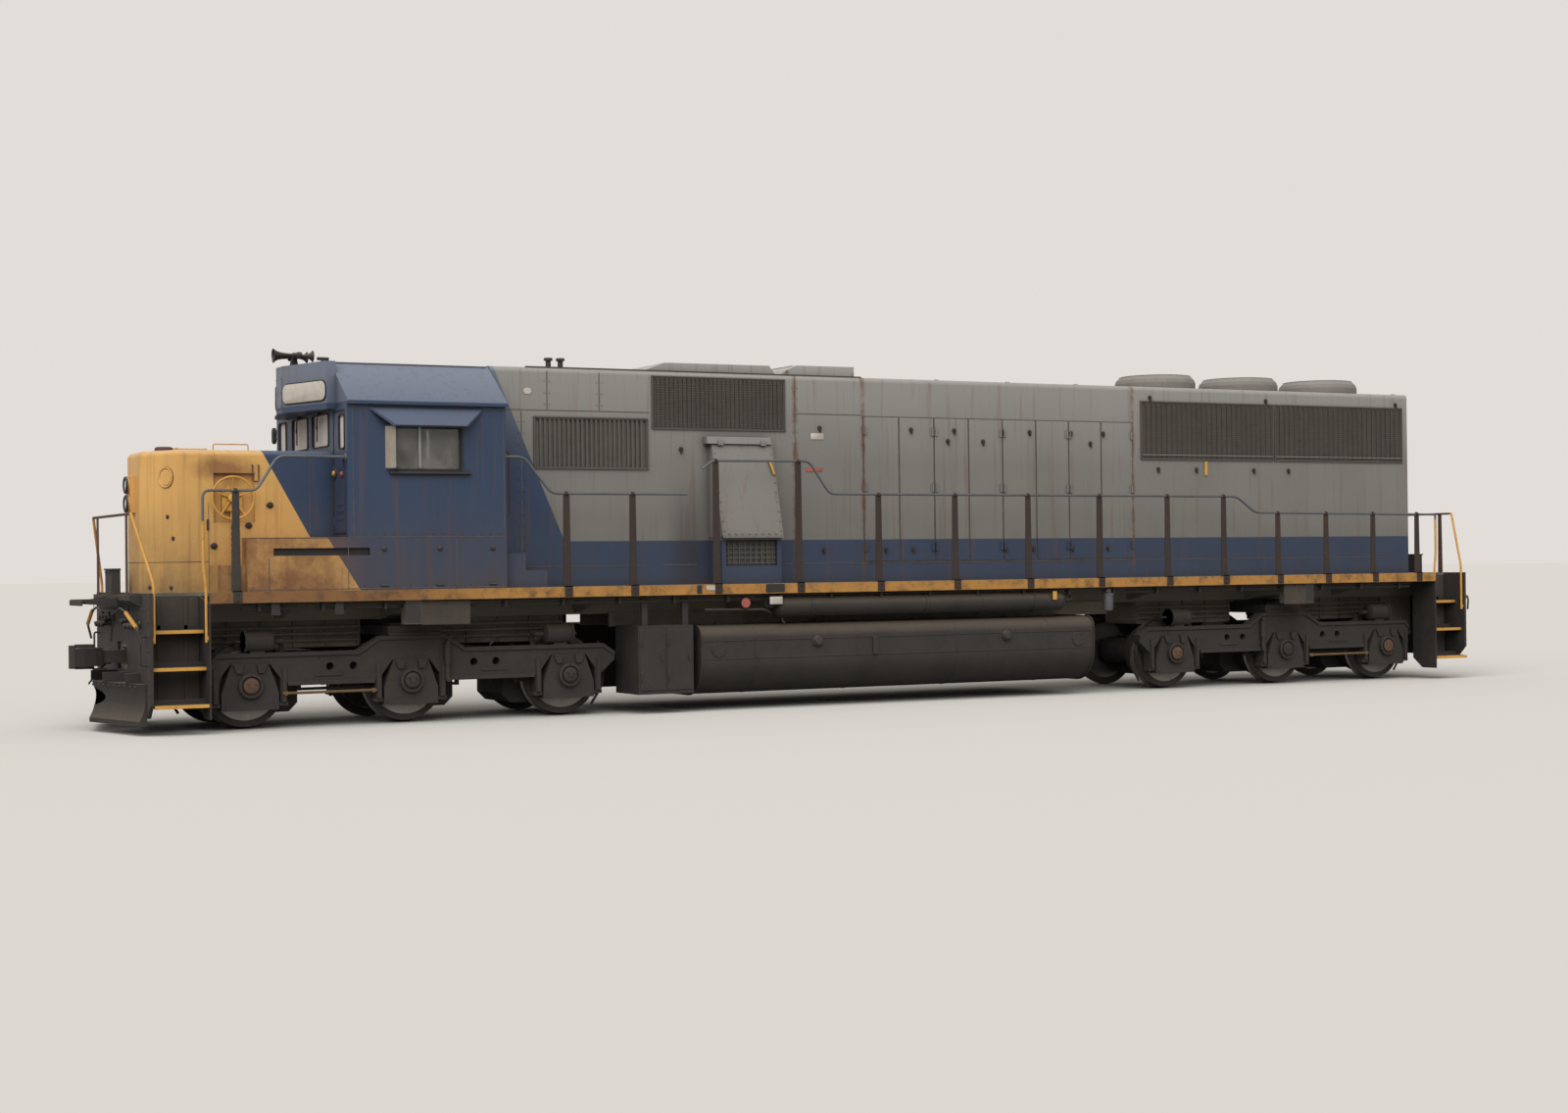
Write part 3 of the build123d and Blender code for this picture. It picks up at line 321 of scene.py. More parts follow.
wornFields = ("base", "second", "rust", "wear", "dust", "roughness", "grain", "bump", "metallic",
              "dustColour")
wornLooks = {
    # black enamel on frame, tank and boxes: dusty, chalked by weather
    "blackEnamel": ("#2c2927", "#37322e", "#4a3629", 0.5, 0.7, 0.62, 14, 0.35, 0.0, "#6b5f50"),
    # sand-cast steel, never bright: oil film and brake dust over a coarse skin
    "castSteel": ("#2f2c29", "#3b3530", "#4c3d30", 0.45, 0.6, 0.66, 9, 0.7, 0.0, "#5c5145"),
    # rolled wheel steel with a brown skin of rust and dust away from the tread
    "rolledSteel": ("#322e2b", "#403831", "#4f3c2e", 0.5, 0.3, 0.55, 18, 0.3, 0.0),
    # bars and mesh of grilles: black paint under grey-brown dust
    "grilleEnamel": ("#56534d", "#5e5a54", "#55493d", 0.3, 0.35, 0.7, 10, 0.25, 0.0),
    # zinc-plated tube gone grey, for the handrails
    "zincTube": ("#6b6f72", "#5f6061", "#5d4c3f", 0.35, 0.3, 0.45, 12, 0.15, 0.35),
    # flat bar posts, red oxide and rust showing through old black
    "postSteel": ("#3a2e28", "#312925", "#543826", 0.65, 0.3, 0.7, 10, 0.3, 0.0),
    # slate brush paint of the two foremost posts
    "slatePaint": ("#393633", "#302c2a", "#56402f", 0.5, 0.25, 0.6, 10, 0.25, 0.0),
    # end rails: red oxide primer with the top coat gone
    "oxideTube": ("#5b4038", "#4a3731", "#73493a", 0.6, 0.25, 0.65, 12, 0.2, 0.0),
    # brake rod under the frames, rust bleached to ochre
    "ochreRod": ("#7d6340", "#6a5236", "#5c4530", 0.4, 0.3, 0.7, 12, 0.2, 0.0),
    # plates out of the rain under the deck: pale road dust, made paler still as painted fill light for their
    # shade
    "paleDustAndFill": ("#8f877b", "#7b7368", "#57493d", 0.45, 0.3, 0.85, 14, 0.3, 0.0),
    # roof shrouds of galvanised sheet gone dull
    "dullZinc": ("#827d77", "#76716b", "#6d6154", 0.4, 0.3, 0.7, 20, 0.2, 0.0, "#a5a19b"),
    # plates on the side sill under brown dust
    "brownDust": ("#4c453d", "#3f3934", "#4d3d31", 0.45, 0.3, 0.85, 14, 0.3, 0.0),
    # wheel tread polished by the rail
    "brightTread": ("#9a9691", "#86817b", "#6f655c", 0.3, 0.1, 0.32, 30, 0.08, 0.9),
    # safety-yellow brush paint on step edges, rails and wheel
    "yellowEnamel": ("#dba54c", "#c8923f", "#7a5530", 0.55, 0.3, 0.5, 12, 0.2, 0.0),
    # cab inside: pale green enamel
    "cabLining": ("#5d655f", "#545b56", "#4a4740", 0.2, 0.2, 0.55, 14, 0.15, 0.0),
    # vinyl cover moulded with a fine leather grain, drawn at 6 mm so that it shows
    "seatVinyl": ("#34343a", "#2c2c31", "#4a4848", 0.3, 0.15, 0.5, 6, 0.5, 0.0),
    # radiator and filter faces deep behind the grilles
    "coreFins": ("#6a655d", "#736d64", "#5a4e40", 0.35, 0.3, 0.75, 20, 0.4, 0.1),
}
finishes = {name: wornFinish(name, dict(zip(wornFields, row))) for name, row in wornLooks.items()}
finishes["livery"] = enamelLivery()
finishes["sill"] = sillEnamel()
finishes["glass"] = safetyGlass()

finishNodes = {
    "livery": "short_hood sub_base cab_front_wall cab_rear_wall cab_side_walls cab_roof front_cab_door "
              "rear_cab_door number_board_housing window_awnings hood_intake_section hood_blower_section "
              "hood_engine_section hood_radiator_section roof_hatches blower_duct",
    "dullZinc": "fan_shrouds",
    "sill": "underframe",
    "glass": "cab_windows",
    "seatVinyl": "crew_seats",
    "cabLining": "control_stand",
    "yellowEnamel": "handbrake_wheel",
    "grilleEnamel": "intake_louvres dynamic_brake_grilles radiator_grilles",
    "coreFins": "inner_cores engine_block",
    "castSteel": "front_truck_frame rear_truck_frame front_coupler rear_coupler front_knuckle rear_knuckle",
    "zincTube": "side_handrails",
    "postSteel": "end_handrails",
    "blackEnamel": "horn",
}
nodeFinish = {name: finish for finish, names in finishNodes.items() for name in names.split()}
for name, node in frame["nodes"].items():
    finish = nodeFinish.get(name, "rolledSteel" if name.startswith("wheelset") else "blackEnamel")
    for slot in node.material_slots:
        slot.material = finishes[finish]
print("materials made:", len(finishes))


# Stage, light and camera
stageLook = {
    "floorHalf": 400.0, "floorSeen": "#d6d3ce", "floorBounce": "#8c8a86", "sky": "#e2ddd8",
    "skyLight": 0.62, "keyStrength": 2.6, "keySpread": 70, "keyFrom": (-0.55, -0.75, 1.0),
}


def floorAndBackground():
    mesh = bmesh.new()
    bmesh.ops.create_grid(mesh, x_segments=8, y_segments=8, size=stageLook["floorHalf"])
    data = bpy.data.meshes.new("floor")
    mesh.to_mesh(data)
    mesh.free()
    floor = bpy.data.objects.new("floor", data)
    scene.collection.objects.link(floor)
    material, add = newMaterial("paintedConcrete")  # pale matt floor paint
    path = add("LightPath").node.outputs
    colour = add("Mix", (path["Is Camera Ray"], stageLook["floorBounce"], stageLook["floorSeen"]))
    shader = add("BsdfDiffuse", {"Color": colour})
    add("OutputMaterial", (shader,))
    data.materials.append(material)

    world = bpy.data.worlds.new("softSky")
    scene.world = world
    world.use_nodes = True
    world.node_tree.nodes.clear()
    add = partial(addNode, world.node_tree)
    path = add("LightPath").node.outputs
    seen = add("Math", (path["Is Camera Ray"], path["Is Transmission Ray"]), "MAXIMUM")
    seenAll = add("Math", (seen, path["Is Glossy Ray"]), "MAXIMUM")
    strength = add("MapRange", {"Value": seenAll, 3: stageLook["skyLight"], 4: 1.0})
    sky = add("Background", {"Color": stageLook["sky"], "Strength": strength})
    add("OutputWorld", (sky,))


def keyLamp():
    lamp = bpy.data.lights.new("softKey", "SUN")
    lamp.energy = stageLook["keyStrength"]
    lamp.angle = radians(stageLook["keySpread"])
    key = bpy.data.objects.new("softKey", lamp)
    key.rotation_mode = "QUATERNION"
    key.rotation_quaternion = Vector(stageLook["keyFrom"]).to_track_quat("Z", "Y")
    scene.collection.objects.link(key)


# Camera solved from the photo on the gauge, wheels and coupler height
cameraPlace = {
    "location": (-16.2544, -28.413, 1.9021 + railHead), "yaw": 0.48887, "pitch": 0.003298,
    "roll": -0.011845, "lens": 52.46, "sensor": 36.0,
}


def makeCamera():
    yaw, pitch, roll = cameraPlace["yaw"], cameraPlace["pitch"], cameraPlace["roll"]
    forward = Vector((sin(yaw) * cos(pitch), cos(yaw) * cos(pitch), sin(pitch)))
    level = forward.cross(Vector((0, 0, 1))).normalized()
    upright = level.cross(forward)
    right = level * cos(roll) + upright * sin(roll)
    up = upright * cos(roll) - level * sin(roll)
    lens = bpy.data.cameras.new("photoCamera")
    lens.lens = cameraPlace["lens"]
    lens.sensor_width = cameraPlace["sensor"]
    lens.clip_end = 2000
    camera = bpy.data.objects.new("photoCamera", lens)
    turn = Matrix((right, up, -forward)).transposed().to_4x4()
    camera.matrix_world = Matrix.Translation(cameraPlace["location"]) @ turn
    scene.collection.objects.link(camera)
    scene.camera = camera


floorAndBackground()
keyLamp()
makeCamera()
scene.view_settings.view_transform = "Standard"
print("stage, light and camera ready")


toFront, toRear, toLeft, toTop = (-1, 0, 0), (1, 0, 0), (0, -1, 0), (0, 0, 1)


def newMeshes(count):
    meshes = [bmesh.new()]
    while len(meshes) < count:
        meshes.append(bmesh.new())
    return meshes


def addBox(mesh, low, high):
    across, deep, tall = (sorted(ends) for ends in zip(low, high))
    corners = [(x, y, z) for x in across for y in deep for z in tall]
    points = [mesh.verts.new(corner) for corner in corners]
    for side in ((0, 1, 3, 2), (4, 6, 7, 5), (0, 4, 5, 1), (2, 3, 7, 6), (0, 2, 6, 4), (1, 5, 7, 3)):
        mesh.faces.new([points[i] for i in side])


# A flat outline drawn out along one axis: (y, z) for x, (x, z) for y, (x, y) for z
def addPrism(mesh, outline, axis, low, high):
    spot = "xyz".index(axis)
    rings = [[mesh.verts.new((*point[:spot], level, *point[spot:])) for point in outline]
             for level in (low, high)]
    for ring in rings:
        mesh.faces.new(ring)
    joinRings(mesh, rings)


# Points evenly round a circle in the plane of two axes
def circlePoints(centre, radius, count, plane="xy", start=0.0):
    points = []
    for i in range(count):
        turn = 2 * pi * (i + start) / count
        point = Vector(centre)
        point["xyz".index(plane[0])] += radius * cos(turn)
        point["xyz".index(plane[1])] += radius * sin(turn)
        points.append(point)
    return points


# Faces between neighbouring rings that have the same number of points
def joinRings(mesh, rings, closed=False):
    for one, two in zip(rings, rings[1:] + (rings[:1] if closed else [])):
        for k in range(len(one)):
            m = (k + 1) % len(one)
            mesh.faces.new((one[k], one[m], two[m], two[k]))


def roundedPath(points, bend, steps=5):
    points = [Vector(p) for p in points]
    if bend <= 0 or len(points) < 3:
        return points
    path = [points[0]]
    for before, corner, after in zip(points, points[1:], points[2:]):
        reach = min(bend, (before - corner).length * 0.49, (after - corner).length * 0.49)
        start = corner + (before - corner).normalized() * reach
        end = corner + (after - corner).normalized() * reach
        for i in range(steps + 1):
            t = i / steps
            path.append(start * (1 - t) ** 2 + corner * 2 * t * (1 - t) + end * t * t)
    return path + [points[-1]]


def addTube(mesh, points, radius, sides=8, bend=0.0, closed=False):
    path = roundedPath(points, bend)
    count = len(path)
    tangents = []
    for i in range(count):
        ahead = path[(i + 1) % count] if closed or i < count - 1 else path[i]
        behind = path[i - 1] if closed or i > 0 else path[i]
        tangents.append((ahead - behind).normalized())
    side = tangents[0].orthogonal().normalized()
    rings = []
    for place, tangent in zip(path, tangents):
        side = (side - tangent * side.dot(tangent)).normalized()
        other = tangent.cross(side)
        ring = []
        for k in range(sides):
            turn = 2 * pi * (k + 0.5) / sides
            ring.append(mesh.verts.new(place + (side * cos(turn) + other * sin(turn)) * radius))
        rings.append(ring)
    joinRings(mesh, rings, closed)
    if not closed:
        mesh.faces.new(rings[0])
        mesh.faces.new(rings[-1][::-1])


# A straight round bar through a place, along x, y or z
def addPin(mesh, place, axis, half, radius, sides=8):
    reach = Vector([half if letter == axis else 0 for letter in "xyz"])
    addTube(mesh, [Vector(place) - reach, Vector(place) + reach], radius, sides)


# A turned shape: profile of (radius, height) pairs, with the height measured along the axis
def addLathe(mesh, profile, place, axis, sides=20):
    axis = Vector(axis).normalized()
    side = axis.orthogonal().normalized()
    other = axis.cross(side)
    rings = []
    for radius, height in profile:
        centre = Vector(place) + axis * height
        if radius < 1e-6:
            rings.append([mesh.verts.new(centre)])
            continue
        turns = [2 * pi * k / sides for k in range(sides)]
        rings.append([mesh.verts.new(centre + (side * cos(t) + other * sin(t)) * radius)
                      for t in turns])
    for one, two in zip(rings, rings[1:]):
        for k in range(sides):
            m = (k + 1) % sides
            corners = [one[k % len(one)], one[m % len(one)], two[m % len(two)], two[k % len(two)]]
            unique = list(dict.fromkeys(corners))
            if len(unique) > 2:
                mesh.faces.new(unique)
    for ring in (rings[0], rings[-1]):
        if len(ring) > 2:
            mesh.faces.new(ring)


def addBolt(mesh, place, axis, size=0.012):
    addLathe(mesh, [(size, 0), (size, size * 0.6), (size * 0.8, size * 0.8), (0, size * 0.8)], place, axis,
             6)


# The piece once more, turned or mirrored: factors for x, y and z
def addCopy(mesh, factors):
    parts = bmesh.ops.duplicate(mesh, geom=mesh.verts[:] + mesh.edges[:] + mesh.faces[:])["geom"]
    for part in parts:
        if isinstance(part, bmesh.types.BMVert):
            part.co = Vector((part.co.x * factors[0], part.co.y * factors[1], part.co.z * factors[2]))


# A finished piece, with mirror as the axis along which it is repeated on the other side
def finishPiece(name, mesh, finish, body="carbody", bevel=0.0, smooth=35, mirror=None):
    if mirror:
        addCopy(mesh, {"x": (-1, 1, 1), "y": (1, -1, 1)}[mirror])
    for point in mesh.verts:
        point.co.z += railHead
    bmesh.ops.recalc_face_normals(mesh, faces=mesh.faces)
    data = bpy.data.meshes.new(name)
    mesh.to_mesh(data)
    mesh.free()
    data.materials.append(finishes[finish])
    data.shade_smooth()
    data.set_sharp_from_angle(angle=radians(smooth))
    piece = bpy.data.objects.new(name, data)
    scene.collection.objects.link(piece)
    if bevel:
        edge = piece.modifiers.new("softEdge", "BEVEL")
        edge.width = bevel
        edge.segments = 2
        edge.limit_method = "ANGLE"
    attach(piece, body)
    return piece


# Finishes of the small parts
def plainGloss(name, base, roughness, metallic, extra=None):
    material, add = newMaterial(name)
    coords = add("TexCoord", out="Object")
    smear = add("TexNoise", (coords, 11.0, 5.0))
    colour = add("ValToRGB", {0: smear}, {"stops": base})
    rough = add("MapRange", (smear, 0.3, 0.7, roughness[0], roughness[1]))
    inputs = {"Base Color": colour, "Roughness": rough, "Metallic": metallic}
    inputs.update(extra or {})
    shader = add("BsdfPrincipled", inputs)
    add("OutputMaterial", (shader,))
    return material


smallFinishes = {
    # EPDM rubber of seals and hoses: dull, with a grey bloom
    "rubber": ([(0.3, "#1d1c1c"), (0.75, "#2f2d2b")], (0.65, 0.85), 0.0, None),
    # opal acrylic of the number boards, lit from the front only
    "whiteAcrylic": ([(0.3, "#cac3b9"), (0.8, "#b8b0a5")], (0.25, 0.4), 0.0, {"IOR": 1.49}),
    # pressed glass over the silvered bowl of a sealed-beam lamp
    "lampGlass": ([(0.3, "#b9bcb9"), (0.8, "#dfe0da")], (0.08, 0.2), 0.0, {"Coat Weight": 0.8}),
    "amberLens": ([(0.3, "#a5782a"), (0.8, "#c09038")], (0.15, 0.3), 0.0, {"Coat Weight": 0.5}),
    "redLens": ([(0.3, "#7a3029"), (0.8, "#8f3d33")], (0.15, 0.3), 0.0, {"Coat Weight": 0.5}),
    # extruded aluminium of the window sashes, dulled by weather
    "silverTrim": ([(0.3, "#9a9c9b"), (0.8, "#b0b1ae")], (0.35, 0.55), 0.8, None),
    # acrylic wind deflector beside the cab window, milky with scratches and dust
    "milkyAcrylic": ([(0.3, "#96897b"), (0.8, "#a5998c")], (0.3, 0.5), 0.0, {"IOR": 1.49}),
    # joint between two panels: painted shade of the gap, with road dust packed in it
    "jointShadeAndDust": ([(0.3, "#645d55"), (0.8, "#524b43")], (0.7, 0.9), 0.0, None),
    # steel bearing caps gone orange with fresh rust
    "capRust": ([(0.3, "#544237"), (0.75, "#72513c")], (0.7, 0.9), 0.0, None),
    # faded red marker enamel
    "redPlate": ([(0.3, "#a3544b"), (0.8, "#b4675c")], (0.5, 0.7), 0.0, None),
}
for name, (base, roughness, metallic, extra) in smallFinishes.items():
    finishes[name] = plainGloss(name, base, roughness, metallic, extra)


# Long hood
hood = {
    "doorProud": 0.012, "doors": 8, "doorStart": -0.38, "doorEnd": 4.23,
    # latch rows: height, then places along the hood
    "latchRows": (
        (3.765, (-1.065, 0.394, 1.108, 1.92, 2.394, 3.116, 3.693)),
        (3.615, (1.001, 1.592, 3.462)), (3.445, (-3.175,)),
        (2.095, (-1.019, -0.035, 0.41, 1.963, 2.437, 3.125, 3.756)),
        (3.252, (4.702, 5.417, 6.516, 7.196)), (4.315, (4.561, 6.762, 9.389)),
    ),
    "hingeHeights": (2.12, 2.95, 3.74), "hingeLength": 0.11,
    # seams of the other panels: x, lower and upper height
    "uprightSeams": ((-5.081, 3.93, 4.43), (-4.349, 3.93, 4.43), (-1.449, 1.68, 4.44), (-5.44, 1.9, 3.9)),
    "levelSeams": ((-5.8, -3.64, 3.925), (-1.42, -0.4, 3.955), (-3.5, -2.95, 1.91), (-1.8, 9.6, 1.905),
                   (-5.6, -3.7, 1.905)),
    "boltPitch": 0.15,
}


def hoodSide(x):
    return hoodHalf + (hood["doorProud"] if hood["doorStart"] < x < hood["doorEnd"] else 0.0)


def hoodLatches():
    mesh = bmesh.new()
    for height, places in hood["latchRows"]:
        for x in places:
            y = -hoodSide(x) if 1.93 < height < 3.93 else -hoodHalf
            addLathe(mesh, [(0.034, 0), (0.034, 0.008), (0.026, 0.014), (0, 0.014)], (x, y, height), toLeft,
                     14)
            addBox(mesh, (x - 0.012, y - 0.03, height - 0.055), (x + 0.012, y - 0.012, height + 0.02))
    finishPiece("hood_latches", mesh, "postSteel", bevel=0.003, mirror="y")


def hoodHinges():
    mesh = bmesh.new()
    start, stop = hood["doorStart"], hood["doorEnd"]
    pitch = (stop - start) / hood["doors"]
    y = -hoodHalf - hood["doorProud"]
    for i in range(hood["doors"]):
        edge = start + (i + i % 2) * pitch + (-0.03 if i % 2 else 0.03)
        for height in hood["hingeHeights"]:
            half = hood["hingeLength"] / 2
            addPin(mesh, (edge, y - 0.012, height), "z", half, 0.012)
            addBox(mesh, (edge - 0.035, y - 0.006, height - half), (edge + 0.035, y, height + half))
    finishPiece("hood_hinges", mesh, "livery", mirror="y")


def hoodSeams():
    seams, bolts = newMeshes(2)
    y = -hoodHalf
    for x, low, high in hood["uprightSeams"]:
        addBox(seams, (x - 0.006, y - 0.003, low), (x + 0.006, y + 0.002, high))
        count = int((high - low) / hood["boltPitch"])
        for i in range(count):
            for across in (-0.035, 0.035):
                addBolt(bolts, (x + across, y, low + (i + 0.5) * hood["boltPitch"]), toLeft, 0.009)
    for start, end, z in hood["levelSeams"]:
        addBox(seams, (start, y - 0.003, z - 0.005), (end, y + 0.002, z + 0.005))
    # shadow gap round each engine-room door
    start, stop = hood["doorStart"], hood["doorEnd"]
    for i in range(hood["doors"] + 1):
        x = start + i * (stop - start) / hood["doors"]
        addBox(seams, (x - 0.005, y - 0.004, 1.92), (x + 0.005, y + 0.002, 3.94))
    for z in (1.922, 3.937):
        addBox(seams, (start, y - 0.004, z - 0.007), (stop, y + 0.002, z + 0.007))
    finishPiece("hood_seams", seams, "jointShadeAndDust", mirror="y")
    finishPiece("hood_seam_bolts", bolts, "livery", mirror="y")


# Stiffener angle and drip strip along the roof edge, roof seams and two small vents
roofTrim = {
    "strip": (-5.36, -0.38), "stripSize": 0.014, "seams": (-5.05, -3.64, -0.36, 0.9, 2.1, 3.3, 4.23, 9.45),
    "vents": (-4.92, -4.75), "ventY": -0.6, "ventTop": 4.635,
}


def hoodRoofTrim():
    strip = bmesh.new()
    size = roofTrim["stripSize"]
    start, stop = roofTrim["strip"]
    for side in (-1, 1):
        low, high = side * 0.885, side * (0.885 + size)
        addBox(strip, (start, low, hoodTop - 0.01), (stop, high, hoodTop + size))
    finishPiece("roof_edge_strips", strip, "brownDust", bevel=0.002)
    ribs = bmesh.new()
    for x in roofTrim["seams"]:
        addBox(ribs, (x - 0.02, -0.86, hoodTop - 0.002), (x + 0.02, 0.86, hoodTop + 0.01))
        for i in range(12):
            addBolt(ribs, (x, -0.8 + i * 0.1455, hoodTop + 0.01), toTop, 0.01)
    finishPiece("roof_seams", ribs, "livery", bevel=0.002)
    vents = bmesh.new()
    for x in roofTrim["vents"]:
        top = roofTrim["ventTop"]
        addLathe(vents, [(0.035, 0), (0.035, top - hoodTop - 0.04), (0.06, top - hoodTop - 0.035),
                         (0.055, top - hoodTop)],
                 (x, roofTrim["ventY"], hoodTop), toTop, 16)
    finishPiece("roof_vents", vents, "blackEnamel", bevel=0.004)


# Woven guard wire in front of the radiator and brake-grid screens: 20 mm squares of 2 mm
# wire, drawn at 32 mm with 7 mm wire so that they show
screens = {
    "openings": ((4.395, 6.885, 3.405, 4.25), (6.935, 9.505, 3.405, 4.25), (-3.585, -1.615, 3.72, 4.402)),
    "intake": (-5.26, -3.67, 3.18, 3.83), "pitch": 0.032, "wire": 0.0036, "proud": 0.012,
    "rim": 0.014, "lipHeight": 0.06, "pleat": 0.03, "mediaDepth": 0.014,
}


def guardMesh():
    mesh = bmesh.new()
    for left, right, low, high in screens["openings"]:
        y = -hoodHalf - screens["proud"]
        across = int((right - left) / screens["pitch"])
        upward = int((high - low) / screens["pitch"])
        for i in range(1, across):
            x = left + (right - left) * i / across
            addTube(mesh, [(x, y, low + 0.02), (x, y, high - 0.02)], screens["wire"], 4)
        for i in range(1, upward):
            z = low + (high - low) * i / upward
            addTube(mesh, [(left + 0.02, y - 0.004, z), (right - 0.02, y - 0.004, z)], screens["wire"], 4)
    finishPiece("grille_wire_mesh", mesh, "coreFins", smooth=60, mirror="y")
    # pleated filter media just behind the bars
    media = bmesh.new()
    for left, right, low, high in screens["openings"] + (screens["intake"],):
        count = 2 * int((right - left) / screens["pleat"] / 2)
        front = [(left + (right - left) * i / count,
                  -hoodHalf + screens["mediaDepth"] + (0.006 if i % 2 else 0.0))
                 for i in range(count + 1)]
        back = -hoodHalf + screens["mediaDepth"] + 0.012
        addPrism(media, front + [(right, back), (left, back)], "z", low, high)
    finishPiece("filter_media", media, "coreFins", mirror="y")


# Low and high corners of the four bars that frame a rectangle from the inside
def frameBars(low, high, width):
    return ((low, (low[0] + width, high[1])), ((high[0] - width, low[1]), high),
            (low, (high[0], low[1] + width)), ((low[0], high[1] - width), high))


# Flat bars screwed round each screen, and the thin lip that shows near the foot of the radiators
def grilleFrames():
    mesh = bmesh.new()
    rim = screens["rim"]
    y = -hoodHalf
    for left, right, low, high in screens["openings"] + (screens["intake"],):
        for box in (((left - rim, low - rim), (right + rim, low)),
                    ((left - rim, high), (right + rim, high + rim)),
                    ((left - rim, low), (left, high)), ((right, low), (right + rim, high))):
            addBox(mesh, (box[0][0], y - 0.018, box[0][1]), (box[1][0], y + 0.005, box[1][1]))
        count = int((right - left) / 0.3)
        for i in range(count + 1):
            x = left + (right - left) * i / count
            for z in (low - rim / 2, high + rim / 2):
                addBolt(mesh, (x, y - 0.018, z), toLeft, 0.006)
    finishPiece("grille_frames", mesh, "grilleEnamel", bevel=0.002, mirror="y")
    lips = bmesh.new()
    for left, right, low, high in screens["openings"][:2]:
        z = low + screens["lipHeight"]
        addBox(lips, (left + 0.01, y - 0.022, z - 0.006), (right - 0.01, y - 0.014, z + 0.006))
    finishPiece("radiator_lips", lips, "livery", mirror="y")


# Duct on the left walkway: cover bolts, hinge, latches and the yellow pull handle
duct = {"x": (-2.775, -1.865), "foot": (-2.7, -1.935), "faceY": -1.36, "faceZ": 2.27, "lean": 0.248}


def ductTrim():
    mesh = bmesh.new()
    left, right = duct["x"]

    def face(z):
        return duct["faceY"] + (z - duct["faceZ"]) * duct["lean"]

    for x in (left + 0.03, right - 0.03):
        for i in range(9):
            z = 2.35 + i * 0.13
            addBolt(mesh, (x, face(z), z), (0, -1, 0.25), 0.011)
    for z in (2.29, 3.5):
        for i in range(8):
            addBolt(mesh, (left + 0.1 + i * 0.1, face(z), z + 0.02), (0, -1, 0.25), 0.011)
    addBox(mesh, (left, -1.375, 2.255), (right, -1.33, 2.285))
    for x in (left + 0.12, right - 0.15):
        addBox(mesh, (x - 0.04, -1.095, 3.5), (x + 0.04, -1.05, 3.56))
    finishPiece("duct_fasteners", mesh, "livery", bevel=0.003)
    grip = bmesh.new()
    addTube(grip, [(-1.945, -1.105, 3.295), (-1.943, -1.135, 3.285), (-1.902, -1.18, 3.115),
                   (-1.9, -1.15, 3.105)],
            0.016, 8, 0.015)
    addBox(grip, (5.565, -0.955, 3.165), (5.615, -0.938, 3.375))
    finishPiece("yellow_handles", grip, "yellowEnamel")
    screen = bmesh.new()
    low, high = duct["foot"]
    for i in range(9):
        x = low + 0.05 + i * (high - low - 0.1) / 8
        addBox(screen, (x - 0.008, -1.262, 1.9), (x + 0.008, -1.243, 2.21))
    for i in range(5):
        z = 1.92 + i * 0.068
        addBox(screen, (low, -1.268, z - 0.006), (high, -1.262, z + 0.006))
    pleats = [(low + (high - low) * i / 16, -1.243 + (0.004 if i % 2 else 0.0)) for i in range(17)]
    addPrism(screen, pleats + [(high, -1.236), (low, -1.236)], "z", 1.88, 2.24)
    finishPiece("duct_foot_screen", screen, "grilleEnamel")


# Grab irons: round bar with two turned-in feet
def addGrab(mesh, start, end, outward, radius=0.011, standoff=0.07):
    away = Vector(outward) * standoff
    start, end = Vector(start), Vector(end)
    addTube(mesh, [start, start + away, end + away, end], radius, 8, 0.025)
    for foot in (start, end):
        addLathe(mesh, [(radius * 2, 0), (radius * 2, 0.006), (0, 0.006)], foot, outward, 10)


hoodLatches()
hoodHinges()
hoodSeams()
hoodRoofTrim()
guardMesh()
grilleFrames()
ductTrim()
print("long hood fitted out")


# Roof of the radiator section
fanGuard = {"ringRadii": (0.205, 0.26, 0.315, 0.37, 0.425, 0.48, 0.535), "wire": 0.005, "top": 4.711,
            "spokes": 16, "spokeEnds": (0.17, 0.55)}
brakeFan = {"x": -2.53, "top": 4.613, "rings": (0.12, 0.24, 0.36, 0.48, 0.54), "boltRadius": 0.58}


def fanGuards():
    mesh = bmesh.new()
    for x in fanX:
        middle = (x, 0, fanGuard["top"])
        for radius in fanGuard["ringRadii"]:
            addTube(mesh, circlePoints(middle, radius, 40), fanGuard["wire"], 5, closed=True)
        inner, outer = (circlePoints(middle, radius, fanGuard["spokes"], start=0.5)
                        for radius in fanGuard["spokeEnds"])
        for ends in zip(inner, outer):
            addTube(mesh, ends, fanGuard["wire"], 5)
    finishPiece("fan_wire_guards", mesh, "grilleEnamel", smooth=60)


# reach, width and pitch in degrees of a blade, each from root to tip, and its section
fanBlade = {
    "count": 8, "rootToTip": ((0.135, 0.53), (0.17, 0.24), (44, 20)),
    "section": ((-0.5, 0), (-0.2, 0.007), (0.2, 0.006), (0.5, 0), (0.2, -0.002), (-0.2, -0.002)),
}


